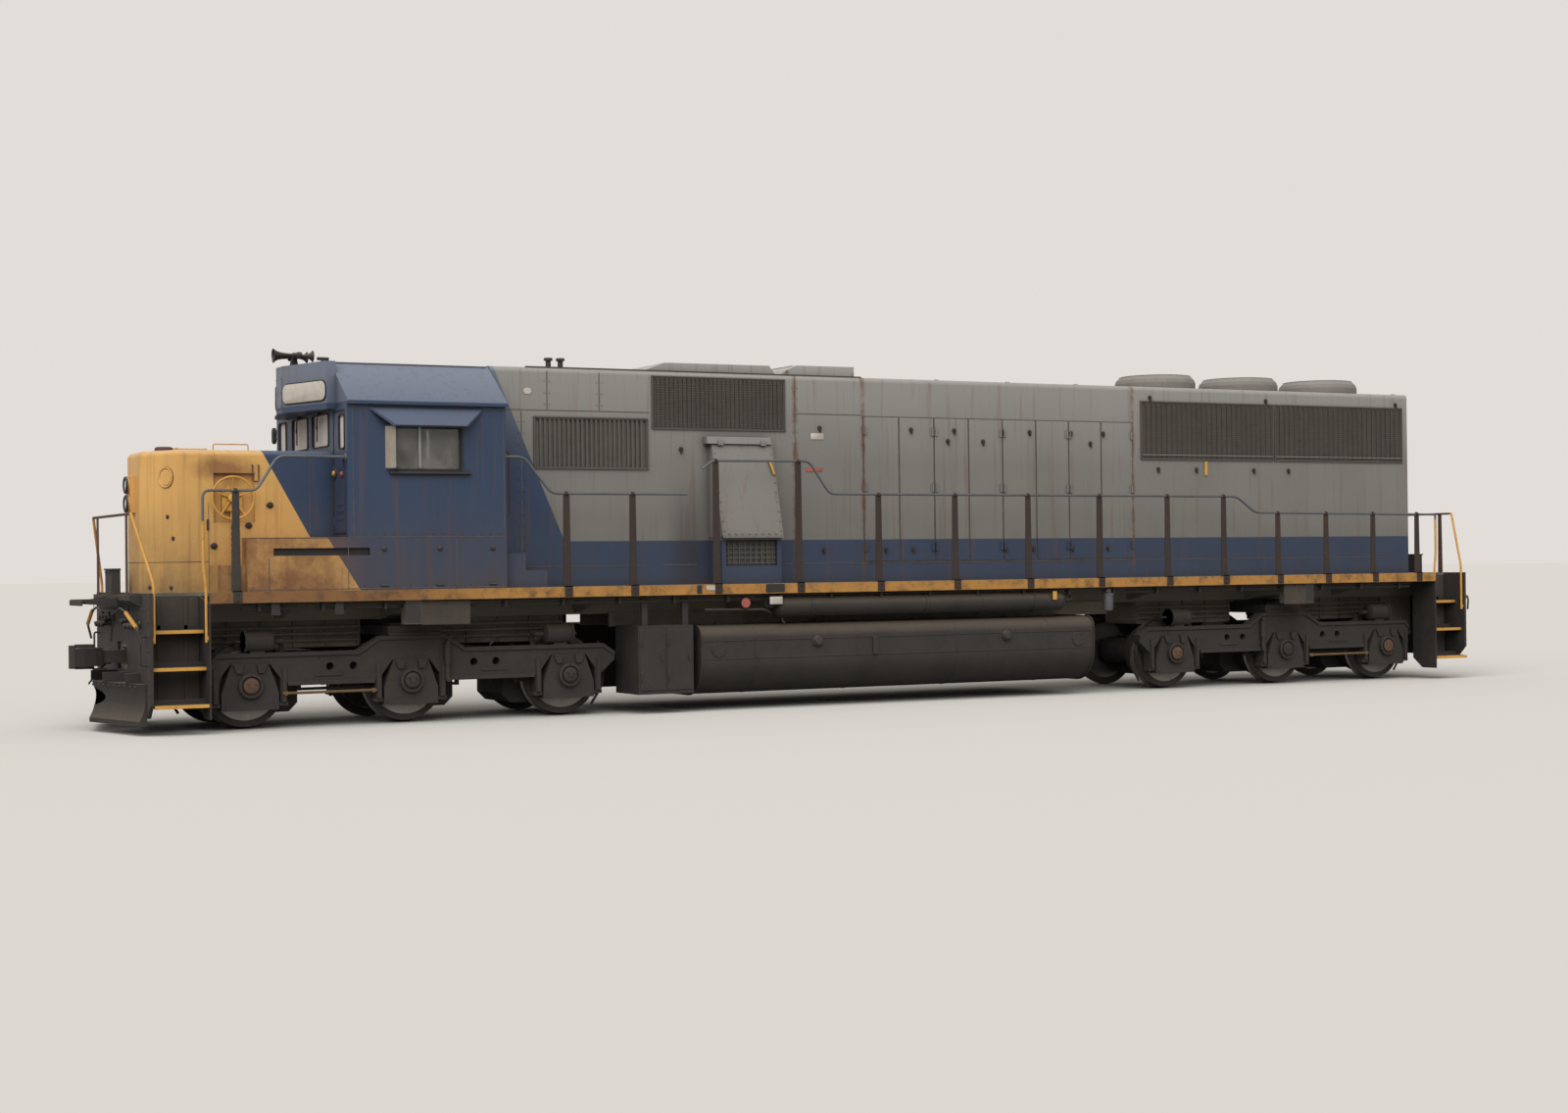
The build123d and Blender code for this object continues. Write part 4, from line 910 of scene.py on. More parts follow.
# Cast fan: eight twisted blades on a domed hub
def fanRotors():
    for number, x in enumerate(fanX, start=1):
        centre = Vector((x, 0, jointPlace[f"fan_{number}_spin"][2] - railHead))
        mesh = bmesh.new()
        addLathe(mesh, [(0, 0.075), (0.08, 0.07), (0.135, 0.045), (0.155, 0), (0.155, -0.055), (0, -0.055)],
                 centre, toTop, 28)
        for blade in range(fanBlade["count"]):
            turn = Matrix.Rotation(2 * pi * blade / fanBlade["count"], 3, "Z")
            rows = []
            for step in range(6):
                reach, width, pitch = (root + (tip - root) * step / 5 for root, tip in fanBlade["rootToTip"])
                lean = radians(pitch)
                row = []
                for across, thick in fanBlade["section"]:
                    y, z = across * width * cos(lean), across * width * sin(lean) + thick
                    row.append(mesh.verts.new(centre + turn @ Vector((reach, y, z))))
                rows.append(row)
            joinRings(mesh, rows)
            mesh.faces.new(rows[0])
            mesh.faces.new(rows[-1])
        rotor = finishPiece(f"fan_{number}_rotor", mesh, "blackEnamel", f"fan_rotor_{number}")
        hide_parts(f"fan_{number}")


# Roof hatches: bolts and guard of the dynamic brake fan, and the collar of the exhaust stack
def hatchTrim():
    top, middle = brakeFan["top"], brakeFan["x"]
    mesh = bmesh.new()
    for place in circlePoints((middle, 0, top - 0.004), brakeFan["boltRadius"], 12):
        addBolt(mesh, place, toTop, 0.012)
    finishPiece("brake_fan_bolts", mesh, "livery")
    wire = bmesh.new()
    hub = (middle, 0, top - 0.006)
    for radius in brakeFan["rings"]:
        addTube(wire, circlePoints(hub, radius, 36), 0.006, 5, closed=True)
    for tip in circlePoints(hub, 0.555, 12):
        addTube(wire, [hub, tip], 0.006, 5)
    finishPiece("brake_fan_guard", wire, "grilleEnamel", smooth=60)
    stack = bmesh.new()
    for low, high in frameBars((-1.15, -0.29), (-0.53, 0.29), 0.03):
        addBox(stack, (low[0], low[1], 4.63), (high[0], high[1], 4.672))
    finishPiece("exhaust_collar", stack, "castSteel", bevel=0.004)


fanGuards()
fanRotors()
hatchTrim()
print("roof fitted out")


# Short hood: lamps, hatches, latches, hand brake and grab irons
nose = {
    "tip": -10.15, "cornerX": -9.8, "flat": 0.3, "top": 3.36, "lampZ": (2.73, 2.96), "lampX": -10.228,
    "lensRadius": 0.088, "bevelHatch": (-9.915, 3.03),
    "spots": ((-9.905, 2.556), (-9.86, 2.294), (-9.88, 1.703), (-10.06, 1.707)),
}
bevelNormal = Vector((-(hoodHalf - nose["flat"]), -(nose["cornerX"] - nose["tip"]), 0)).normalized()


# A spot on the slanted corner of the nose, and the way out of the sheet there
def onBevel(x, z, side):
    part = (x - nose["tip"]) / (nose["cornerX"] - nose["tip"])
    place = Vector((x, side * (nose["flat"] + part * (hoodHalf - nose["flat"])), z))
    return place, Vector((bevelNormal.x, bevelNormal.y * -side, 0))


def headlights():
    rims, bowls, lenses = newMeshes(3)
    radius = nose["lensRadius"]
    outer = radius + 0.018
    rim = [(radius + 0.002, 0), (outer, 0), (outer, 0.022), (radius + 0.002, 0.028), (radius, 0.004)]
    # fluted front lens: a shallow dome with a step at every other ring
    fluted = [(radius, 0.004)]
    for i in range(1, 9):
        reach = radius * (1 - i / 8)
        fluted.append((reach, 0.006 + 0.014 * (1 - (reach / radius) ** 2) + (0.0015 if i % 2 else 0)))
    for z in nose["lampZ"]:
        place = (nose["lampX"], 0, z)
        addLathe(rims, rim, place, toFront, 28)
        addLathe(bowls, [(radius, 0.001), (0.05, 0.0005), (0, 0.0005)], place, toFront, 28)
        addLathe(lenses, fluted, place, toFront, 28)
    for y in (-0.115, 0.115):
        place = (10.018, y, 4.2)
        addLathe(rims, rim, place, toRear, 28)
        addLathe(lenses, [(radius, 0.004), (radius * 0.6, 0.016), (0, 0.02)], place, toRear, 28)
    # cover plate of the housing, with its screws
    for z in (2.65, 2.845, 3.04):
        for y in (-0.115, 0.115):
            addBolt(rims, (-10.21, y, z), toFront, 0.008)
    finishPiece("headlight_rims", rims, "blackEnamel", bevel=0.002)
    finishPiece("headlight_bowls", bowls, "silverTrim")
    finishPiece("headlight_lenses", lenses, "lampGlass")


def noseHatches():
    mesh = bmesh.new()
    for side in (-1, 1):
        place, away = onBevel(*nose["bevelHatch"], side)
        addLathe(mesh, [(0.125, 0), (0.125, 0.016), (0.112, 0.018), (0.104, 0.004), (0.096, 0.004),
                        (0.092, 0.012), (0, 0.012)], place, away, 30)
        for turn in (2 * pi * i / 8 for i in range(8)):
            spoke = Vector((-away.y * cos(turn), away.x * cos(turn), sin(turn)))
            addBolt(mesh, place + spoke * 0.116 + away * 0.016, away, 0.007)
    # sand hatch and its hinge on the nose top
    for y in (-0.55, 0.55):
        addBox(mesh, (-9.75, y - 0.16, nose["top"] - 0.004), (-9.43, y + 0.16, nose["top"] + 0.022))
        addPin(mesh, (-9.42, y, nose["top"] + 0.018), "y", 0.13, 0.012)
        addBox(mesh, (-9.78, y - 0.02, nose["top"] + 0.004), (-9.73, y + 0.02, nose["top"] + 0.034))
    finishPiece("nose_hatches", mesh, "livery", bevel=0.003)
    seams = bmesh.new()
    for side in (-1, 1):
        y = (side * (hoodHalf - 0.002), side * (hoodHalf + 0.003))
        for x, low, high in ((-9.465, 1.66, 2.72), (-8.22, 2.3, 3.28)):
            addBox(seams, (x - 0.003, y[0], low), (x + 0.003, y[1], high))
        addBox(seams, (nose["cornerX"], y[0], 2.008), (-9.46, y[1], 2.016))
        start = Vector((nose["cornerX"], side * hoodHalf, 2.012))
        end = Vector((nose["tip"], side * nose["flat"], 2.012))
        lift = Vector((bevelNormal.x, bevelNormal.y * -side, 0)) * 0.002
        addTube(seams, [start + lift, end + lift], 0.003, 4)
    addBox(seams, (nose["tip"] - 0.003, -0.3, 2.008), (nose["tip"] + 0.002, 0.3, 2.016))
    finishPiece("nose_seams", seams, "jointShadeAndDust")
    spots = bmesh.new()
    for side in (-1, 1):
        place, away = onBevel(*nose["bevelHatch"], side)
        addLathe(spots, [(0.129, 0), (0.129, 0.007), (0.116, 0.012), (0.116, 0)], place, away, 30)
    for x, z in nose["spots"]:
        for side in (-1, 1):
            place, away = onBevel(x, z, side)
            addLathe(spots, [(0.026, 0), (0.026, 0.008), (0.015, 0.016), (0, 0.016)], place, away, 12)
    for x, z in ((-8.714, 2.692), (-8.977, 2.445), (-9.4, 2.2)):
        for side in (-1, 1):
            place = (x, side * hoodHalf, z)
            addLathe(spots, [(0.04, 0), (0.04, 0.01), (0.028, 0.018), (0, 0.018)], place, (0, side, 0), 14)
            addBox(spots, (x - 0.05, side * 0.952, z - 0.012), (x + 0.02, side * 0.97, z + 0.012))
    addBox(spots, (-9.487, -0.953, 2.39), (-9.461, -0.939, 2.52))
    finishPiece("nose_latches", spots, "postSteel", bevel=0.002)


def noseTopFittings():
    mesh = bmesh.new()
    addBox(mesh, (-9.4, -0.42, nose["top"] - 0.002), (-8.1, 0.42, nose["top"] + 0.016))
    finishPiece("nose_top_plates", mesh, "livery", bevel=0.004)
    filler = bmesh.new()
    addLathe(filler, [(0.11, 0), (0.11, 0.05), (0.09, 0.066), (0, 0.066)], (-9.8, -0.12, nose["top"]),
             toTop, 18)
    finishPiece("sand_filler_cap", filler, "oxideTube", bevel=0.003)
    loop = bmesh.new()
    addGrab(loop, (-9.29, -0.5, nose["top"]), (-8.86, -0.5, nose["top"]), toTop, 0.008, 0.09)
    finishPiece("nose_grab_iron", loop, "yellowEnamel")
    bracket = bmesh.new()
    addTube(bracket, [(-8.93, -0.94, 3.18), (-8.93, -0.965, 3.18), (-8.93, -0.965, 2.98),
                      (-8.855, -0.965, 2.98),
                      (-8.855, -0.965, 3.18), (-8.855, -0.94, 3.18)], 0.008, 6, 0.02)
    finishPiece("nose_side_bracket", bracket, "oxideTube")


# Hand brake: spoked wheel with a bent rim, ratchet case and chain down to the deck
brakeWheel = {"centre": (-9.18, -1.01, 2.78), "rim": 0.255, "wire": 0.014, "spokes": 5, "dish": 0.045}


def handBrake():
    mesh = bmesh.new()
    centre = Vector(brakeWheel["centre"])
    rim = brakeWheel["rim"]
    addTube(mesh, circlePoints(centre, rim, 48, "xz"), brakeWheel["wire"], 10, closed=True)
    for i in range(brakeWheel["spokes"]):
        turn = 2 * pi * (i + 0.25) / brakeWheel["spokes"]
        ray = Vector((cos(turn), 0, sin(turn)))
        inward = Vector((0, brakeWheel["dish"], 0))
        addTube(mesh, [centre + ray * 0.03 + inward, centre + ray * 0.12 + inward, centre + ray * rim],
                0.011, 8, 0.06)
    addLathe(mesh, [(0.045, -0.02), (0.05, 0), (0.05, 0.03), (0.03, 0.045), (0, 0.045)],
             centre + Vector((0, brakeWheel["dish"] + 0.01, 0)), toLeft, 18)
    wheel = finishPiece("hand_brake_wheel", mesh, "yellowEnamel")
    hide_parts("handbrake_wheel")
    case = bmesh.new()
    addPrism(case, [(-9.3, 2.62), (-9.3, 2.86), (-9.23, 2.93), (-9.13, 2.93), (-9.06, 2.86),
                    (-9.06, 2.62)], "y", -0.95, -0.878)
    addLathe(case, [(0.055, 0), (0.055, 0.05), (0.03, 0.06), (0, 0.06)], (-9.18, -0.95, 2.78), toLeft, 16)
    addBox(case, (-9.195, -0.93, 2.48), (-9.165, -0.9, 2.64))
    for x in (-9.28, -9.08):
        for z in (2.65, 2.85):
            addBolt(case, (x, -0.95, z), toLeft, 0.01)
    finishPiece("hand_brake_case", case, "yellowEnamel", bevel=0.004)
    addChain("hand_brake_chain", (-9.18, -0.962, 2.47), (-9.18, -0.962, 1.66), 0.045)


# Chain of welded links between two points: each link is an oval ring, turned a quarter from the last
def addChain(name, start, end, link, finish="postSteel", sag=0.0, body="carbody"):
    mesh = bmesh.new()
    start, end = Vector(start), Vector(end)
    count = max(3, round((end - start).length * (1 + sag) / (link * 0.78)))
    for i in range(count):
        t = (i + 0.5) / count
        drop = Vector((0, 0, -sag * 4 * t * (1 - t)))
        place = start.lerp(end, t) + drop
        slope = (end - start) + Vector((0, 0, -sag * 4 * (1 - 2 * t)))
        along = slope.normalized()
        side = along.orthogonal().normalized()
        if i % 2:
            side = along.cross(side)
        ring = []
        for k in range(10):
            turn = 2 * pi * k / 10
            ring.append(place + along * cos(turn) * link * 0.55 + side * sin(turn) * link * 0.32)
        addTube(mesh, ring, link * 0.12, 5, closed=True)
    return finishPiece(name, mesh, finish, body, smooth=60)


headlights()
noseHatches()
noseTopFittings()
handBrake()
print("short hood fitted out")


# Cab: glazing seals and sashes, wipers, boards, lamps, doors and roof fittings
cab = {
    "front": -7.93, "rear": -5.89, "eave": 3.95, "eaveY": 1.585, "ridge": 4.46, "ridgeY": 0.9,
    "frontPanes": ((-0.79, -0.11), (0.11, 0.79), (1.1, 1.42)), "frontPaneZ": (3.44, 3.83),
    "rearPane": (-1.42, -1.06, 3.4, 3.8), "sidePane": (-7.31, -6.49, 3.125, 3.8), "divider": -7.008,
    "doorPaneY": (1.215, 1.425), "doorPaneZ": (3.38, 3.78),
}


# A seal or sash: rounded rectangle ring in the plane at right angles to one axis
def addSash(mesh, axis, level, low, high, width, depth, corner=0.04):
    centreA, centreB = ((low[i] + high[i]) / 2 for i in (0, 1))
    halfA, halfB = ((high[i] - low[i]) / 2 for i in (0, 1))

    def ring(grow, offset):
        points = []
        bend = max(corner + grow, 0.006)
        for quarter in range(4):
            signA = (1, -1, -1, 1)[quarter]
            signB = (1, 1, -1, -1)[quarter]
            for step in range(5):
                turn = pi / 2 * (quarter + step / 4)
                a = centreA + signA * (halfA + grow - bend) + bend * cos(turn)
                b = centreB + signB * (halfB + grow - bend) + bend * sin(turn)
                points.append((level + offset, a, b) if axis == "x" else (a, level + offset, b))
        return [mesh.verts.new(point) for point in points]

    loops = [ring(0.0, 0.0), ring(0.0, depth), ring(width, depth), ring(width, 0.0)]
    joinRings(mesh, loops, closed=True)


def windowSeals():
    seals = bmesh.new()
    z0, z1 = cab["frontPaneZ"]
    for y0, y1 in cab["frontPanes"]:
        addSash(seals, "x", cab["front"] + 0.002, (y0, z0), (y1, z1), 0.016, -0.014)
    y0, y1, z0, z1 = cab["rearPane"]
    addSash(seals, "x", cab["rear"] - 0.002, (y0, z0), (y1, z1), 0.028, 0.016)
    x0, x1, z0, z1 = cab["sidePane"]
    for side in (-1, 1):
        addSash(seals, "y", side * (halfWidth - 0.002), (x0, z0), (x1, z1), 0.032, side * 0.018, 0.03)
    finishPiece("window_seals", seals, "rubber")
    sashes = bmesh.new()
    for side in (-1, 1):
        y = (side * (halfWidth - 0.03), side * (halfWidth - 0.01))
        addBox(sashes, (cab["divider"] - 0.016, y[0], z0 + 0.005),
               (cab["divider"] + 0.016, y[1], z1 - 0.005))
    finishPiece("side_window_dividers", sashes, "silverTrim", bevel=0.003)
    # wind deflector: a slanted pane ahead of each side window
    panes = bmesh.new()
    for side in (-1, 1):
        foot, tip = Vector((-7.4505, 1.551)), Vector((-7.3545, 1.672))
        away = Vector((foot.y - tip.y, tip.x - foot.x)).normalized()
        outline = [foot + away * 0.001, tip + away * 0.001, tip + away * 0.004, foot + away * 0.004]
        addPrism(panes, [(p.x, p.y * side) for p in outline], "z", 3.13, 3.64)
    finishPiece("wind_deflector_panes", panes, "milkyAcrylic")


def doorGlazing():
    # the front door opens ahead on the left side, the rear door behind on the right
    for end, out, x in (("front", -1, cab["front"] + 0.025), ("rear", 1, cab["rear"] - 0.025)):
        body, side = f"{end}_door_leaf", out
        y = sorted(side * edge for edge in cab["doorPaneY"])
        z = cab["doorPaneZ"]
        glass = bmesh.new()
        addPrism(glass, [(y[0], z[0]), (y[1], z[0]), (y[1], z[1]), (y[0], z[1])], "x", x - 0.004, x + 0.004)
        finishPiece(f"{end}_door_pane", glass, "glass", body)
        seal = bmesh.new()
        addSash(seal, "x", x + out * 0.02, (y[0] + 0.003, z[0] + 0.003), (y[1] - 0.003, z[1] - 0.003),
                0.022, out * 0.01, 0.03)
        edge = sorted((side * 0.99, side * 1.45))
        low, high = 2.34, 3.835
        for a, b in frameBars((edge[0], low), (edge[1], high), 0.012):
            addBox(seal, (x + out * 0.02, a[0], a[1]), (x + out * 0.024, b[0], b[1]))
        finishPiece(f"{end}_door_seal", seal, "rubber", body)
        grip = bmesh.new()
        plate = x + out * 0.02
        hand = side * 1.427
        addBox(grip, (plate, hand - 0.02, 3.05), (plate + out * 0.006, hand + 0.02, 3.29))
        for z in (2.48, 3.12, 3.7):
            addPin(grip, (plate + out * 0.004, side, z), "z", 0.05, 0.009)
        for i in range(3):
            addBox(grip, (plate, side * 1.1, 2.5 + i * 0.09),
                   (plate + out * 0.005, side * 1.36, 2.54 + i * 0.09))
        finishPiece(f"{end}_door_fittings", grip, "livery", body, bevel=0.002)


def wipers():
    mesh = bmesh.new()
    x = cab["front"] - 0.02
    for y0, y1 in cab["frontPanes"][:2]:
        middle = (y0 + y1) / 2
        addLathe(mesh, [(0.02, 0), (0.02, 0.03), (0, 0.035)], (x + 0.02, middle, 3.855), toFront, 12)
        addTube(mesh, [(x - 0.012, middle, 3.855), (x - 0.022, middle + 0.05, 3.66)], 0.007, 6)
        addTube(mesh, [(x - 0.01, middle + 0.05, 3.8), (x - 0.01, middle + 0.05, 3.5)], 0.009, 6)
    finishPiece("windscreen_wipers", mesh, "rubber")


# Number boards: blank opal plates with round ends, one on each slanted face of the housing
boards = {"length": 0.96, "height": 0.235, "corner": 0.085, "centreZ": 4.1, "inner": (-8.32, 0.15),
          "outer": (-8.045, 1.11)}


def addPlaque(mesh, centre, along, upward, length, height, proud, corner=None, steps=6):
    centre, along, upward = Vector(centre), Vector(along).normalized(), Vector(upward).normalized()
    away = along.cross(upward)
    radius = min(corner or height / 2, height / 2)
    outline = []
    for signA, signB, start in ((1, -1, -90), (1, 1, 0), (-1, 1, 90), (-1, -1, 180)):
        for i in range(steps + 1):
            turn = radians(start + 90 * i / steps)
            outline.append((signA * (length / 2 - radius) + radius * cos(turn),
                            signB * (height / 2 - radius) + radius * sin(turn)))
    rings = []
    for grow, lift in ((1.0, 0.0), (1.0, proud * 0.7), (0.97, proud)):
        rings.append([mesh.verts.new(centre + (along * a + upward * b) * grow + away * lift)
                      for a, b in outline])
    joinRings(mesh, rings)
    mesh.faces.new(rings[-1])
    mesh.faces.new(rings[0])


def numberBoards():
    plates, rims = newMeshes(2)
    for side in (-1, 1):
        inner, outer = (Vector((x, side * y, 0)) for x, y in (boards["inner"], boards["outer"]))
        along = (outer - inner).normalized() * -side
        away = along.cross(Vector(toTop))
        centre = (inner + outer) / 2 + Vector((0, 0, boards["centreZ"]))
        if away.x > 0:
            along = -along
            away = -away
        for mesh, lift, grow, proud in ((plates, 0.01, 0, 0.008), (rims, 0.001, 0.03, 0.01)):
            length, height = boards["length"] + grow, boards["height"] + grow
            corner = boards["corner"] + grow / 2
            addPlaque(mesh, centre + away * lift, along, toTop, length, height, proud, corner)
    finishPiece("number_boards", plates, "whiteAcrylic")
    finishPiece("number_board_rims", rims, "rubber")
    cover = bmesh.new()
    x = boards["inner"][0]
    addBox(cover, (x - 0.008, -0.125, 3.93), (x + 0.002, 0.125, 4.33))
    for y in (-0.105, 0.105):
        for z in (3.96, 4.13, 4.3):
            addBolt(cover, (x - 0.008, y, z), toFront, 0.009)
    finishPiece("board_centre_cover", cover, "livery", bevel=0.003)


def cabLamps():
    lamps = (("amber_marker_lamp", (-7.93, -1.03, 3.08), "amberLens"),
             ("red_marker_lamp", (-7.925, -1.33, 3.06), "redLens"))
    for name, place, finish in lamps:
        mesh = bmesh.new()
        addLathe(mesh, [(0.038, 0), (0.038, 0.015), (0.026, 0.032), (0, 0.038)], place, toFront, 18)
        finishPiece(name, mesh, finish, "front_door_leaf")
    rims = bmesh.new()
    addLathe(rims, [(0.07, 0), (0.07, 0.012), (0.04, 0.016)], (-7.925, -1.03, 3.08), toFront, 18)
    finishPiece("lamp_rims", rims, "blackEnamel", "front_door_leaf")


# Roof seams along the ridges, drip rails over the sides, and the stub mast behind the horn
def cabRoofTrim():
    mesh = bmesh.new()
    for side in (-1, 1):
        y = (side * (cab["eaveY"] - 0.001), side * (cab["eaveY"] + 0.02))
        addBox(mesh, (cab["front"] - 0.01, y[0], cab["eave"] - 0.045), (-5.87, y[1], cab["eave"] + 0.005))
        y = (side * (cab["ridgeY"] - 0.02), side * (cab["ridgeY"] + 0.02))
        addBox(mesh, (cab["front"] + 0.02, y[0], cab["ridge"] - 0.004), (-5.9, y[1], cab["ridge"] + 0.006))
    finishPiece("cab_roof_trim", mesh, "livery", bevel=0.002)
    mast = bmesh.new()
    addLathe(mast, [(0.05, 0), (0.045, 0.015), (0.026, 0.02), (0.026, 0.14), (0, 0.145)],
             (-7.755, 0, cab["ridge"]),
             toTop, 16)
    addTube(mast, [(-7.83, 0, 4.585), (-7.68, 0, 4.585)], 0.022, 10)
    finishPiece("roof_mast", mast, "blackEnamel", bevel=0.002)


# Five-chime air horn: flared bells on a cross manifold, each with its y, way along x and length
hornLook = {"z": 4.59, "x": -8.13, "bells": ((-0.19, -1, 0.32), (0.0, -1, 0.265), (0.19, -1, 0.21),
                                         (-0.095, 1, 0.215), (0.095, 1, 0.195))}


def airHorn():
    mesh = bmesh.new()
    x, z = hornLook["x"], hornLook["z"]
    addPin(mesh, (x, 0, z - 0.01), "y", 0.21, 0.022, 12)
    addPrism(mesh, [(x - 0.05, 4.46), (x - 0.02, z), (x + 0.02, z), (x + 0.05, 4.46)], "y", -0.05, 0.05)
    addBox(mesh, (x - 0.075, -0.08, 4.458), (x + 0.075, 0.08, 4.472))
    for y, way, length in hornLook["bells"]:
        addLathe(mesh, [(0, -0.045), (0.035, -0.045), (0.042, -0.035), (0.042, 0.01), (0.03, 0.02),
                        (0.014, 0.03)], (x, y, z + 0.012), (way, 0, 0), 18)
        bell = [(0.016, 0.03)]
        for i in range(1, 11):
            t = i / 10
            bell.append((0.016 + 0.014 * t + 0.045 * t ** 5, 0.03 + (length - 0.03) * t))
        inner = [(max(r - 0.004, 0.006), h) for r, h in reversed(bell)]
        addLathe(mesh, bell + inner + [(0, 0.05)], (x, y, z + 0.012), (way, 0, 0), 22)
    horn = finishPiece("air_horn", mesh, "blackEnamel")
    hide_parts("horn")


# Cab sides: arm rests, panel seams, battery box latches, rear grab irons and slots
def cabSideTrim():
    rests = bmesh.new()
    for side in (-1, 1):
        addBox(rests, (-7.4, side * 1.548, 3.055), (-6.36, side * 1.6, 3.09))
    finishPiece("window_arm_rests", rests, "seatVinyl", bevel=0.012)
    seams = bmesh.new()
    y = (-halfWidth - 0.003, -halfWidth + 0.002)
    for x0, x1, z in ((-9.15, -7.94, 2.283), (-7.93, -5.9, 2.29), (-9.15, -5.9, 1.665)):
        addBox(seams, (x0, y[0], z - 0.005), (x1, y[1], z + 0.005))
    for x, low, high in ((-8.9, 1.66, 2.04), (-7.93, 1.66, 2.29), (-6.55, 1.66, 2.29), (-5.92, 2.3, 3.9),
                         (-7.86, 2.3, 3.9)):
        addBox(seams, (x - 0.004, y[0], low), (x + 0.004, y[1], high))
    finishPiece("cab_side_seams", seams, "jointShadeAndDust", mirror="y")
    latches, mesh = newMeshes(2)
    for x in (-7.481, -6.767, -6.075):
        addLathe(latches, [(0.032, 0), (0.032, 0.01), (0.02, 0.018), (0, 0.018)], (x, -halfWidth, 2.145),
                 toLeft, 12)
        addPin(mesh, (x, -halfWidth - 0.008, 1.7), "x", 0.05, 0.01)
    for i in range(16):
        addBolt(mesh, (-7.85 + i * 0.125, -halfWidth, 2.325), toLeft, 0.008)
        addBolt(mesh, (-9.1 + i * 0.195, -halfWidth, 1.7), toLeft, 0.009)
    for x in (-7.85, -6.12, -5.98):
        addBolt(mesh, (x, -halfWidth, 3.86), toLeft, 0.008)
    finishPiece("battery_box_latches", latches, "blackEnamel", bevel=0.002, mirror="y")
    finishPiece("cab_side_fittings", mesh, "livery", bevel=0.002, mirror="y")
    grabs = bmesh.new()
    for side in (-1, 1):
        addGrab(grabs, (cab["rear"], side * 1.5, 2.55), (cab["rear"], side * 1.5, 3.35), (1, 0, 0), 0.011,
                0.06)
    addGrab(grabs, (9.99, -0.2, 2.2), (9.99, 0.2, 2.2), (1, 0, 0), 0.011, 0.05)
    finishPiece("cab_grab_irons", grabs, "postSteel")
    lining = bmesh.new()
    addBox(lining, (-8.84, -halfWidth + 0.035, 2.06), (-7.665, -halfWidth + 0.05, 2.17))
    finishPiece("battery_box_slots", lining, "rubber", mirror="y")


windowSeals()
doorGlazing()
wipers()
numberBoards()
cabLamps()
cabRoofTrim()
airHorn()
cabSideTrim()
print("cab fitted out")


# Crew seats: crowned vinyl cushions on a pedestal
seatLook = {"places": ((-6.7, -0.95), (-6.7, 0.95)), "cushion": (0.45, 0.44, 0.105),
            "back": (0.095, 0.42, 0.5), "seatZ": 2.775}


# Cushion as a rounded box whose faces bulge and whose edges draw in
def addCushion(mesh, centre, size, bulge=0.16, cuts=10):
    axes = ((0, 1, 2), (1, 2, 0), (2, 0, 1))
    for a, b, c in axes:
        for sign in (-1, 1):
            grid = []
            for i in range(cuts + 1):
                row = []
                for j in range(cuts + 1):
                    u, v = 2 * i / cuts - 1, 2 * j / cuts - 1
                    point = [0, 0, 0]
                    point[a], point[b], point[c] = u, v, sign
                    length = (abs(point[0]) ** 6 + abs(point[1]) ** 6 + abs(point[2]) ** 6) ** (1 / 6)
                    swell = 1 + bulge * (1 - u * u) * (1 - v * v)
                    shaped = Vector([point[k] / length * size[k] / 2 * (swell if k == c else 1)
                                     for k in range(3)])
                    row.append(mesh.verts.new(Vector(centre) + shaped))
                grid.append(row)
            for i in range(cuts):
                for j in range(cuts):
                    mesh.faces.new((grid[i][j], grid[i + 1][j], grid[i + 1][j + 1], grid[i][j + 1]))


def crewSeats():
    for number, (x, y) in enumerate(seatLook["places"], start=1):
        z = seatLook["seatZ"]
        pads = bmesh.new()
        addCushion(pads, (x, y, z), seatLook["cushion"])
        addCushion(pads, (x + 0.2, y, z + 0.33), seatLook["back"])
        bmesh.ops.remove_doubles(pads, verts=pads.verts, dist=0.0005)
        cushion = finishPiece(f"seat_{number}_cushions", pads, "seatVinyl", smooth=80)
        pedestal = bmesh.new()
        addLathe(pedestal, [(0.19, 0), (0.18, 0.02), (0.075, 0.05), (0.07, 0.36), (0, 0.36)], (x, y, 2.29),
                 toTop, 24)
        addBox(pedestal, (x - 0.17, y - 0.18, z - 0.075), (x + 0.17, y + 0.18, z - 0.05))
        for side in (-1, 1):
            rest = ((0.17, 0.215, 0.05), (0.15, 0.225, 0.2), (-0.15, 0.225, 0.2))
            addTube(pedestal, [(x + a, y + side * b, z + c) for a, b, c in rest], 0.014, 8, 0.05)
        finishPiece(f"seat_{number}_pedestal", pedestal, "blackEnamel")
        if number == 1:
            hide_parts("crew_seats")


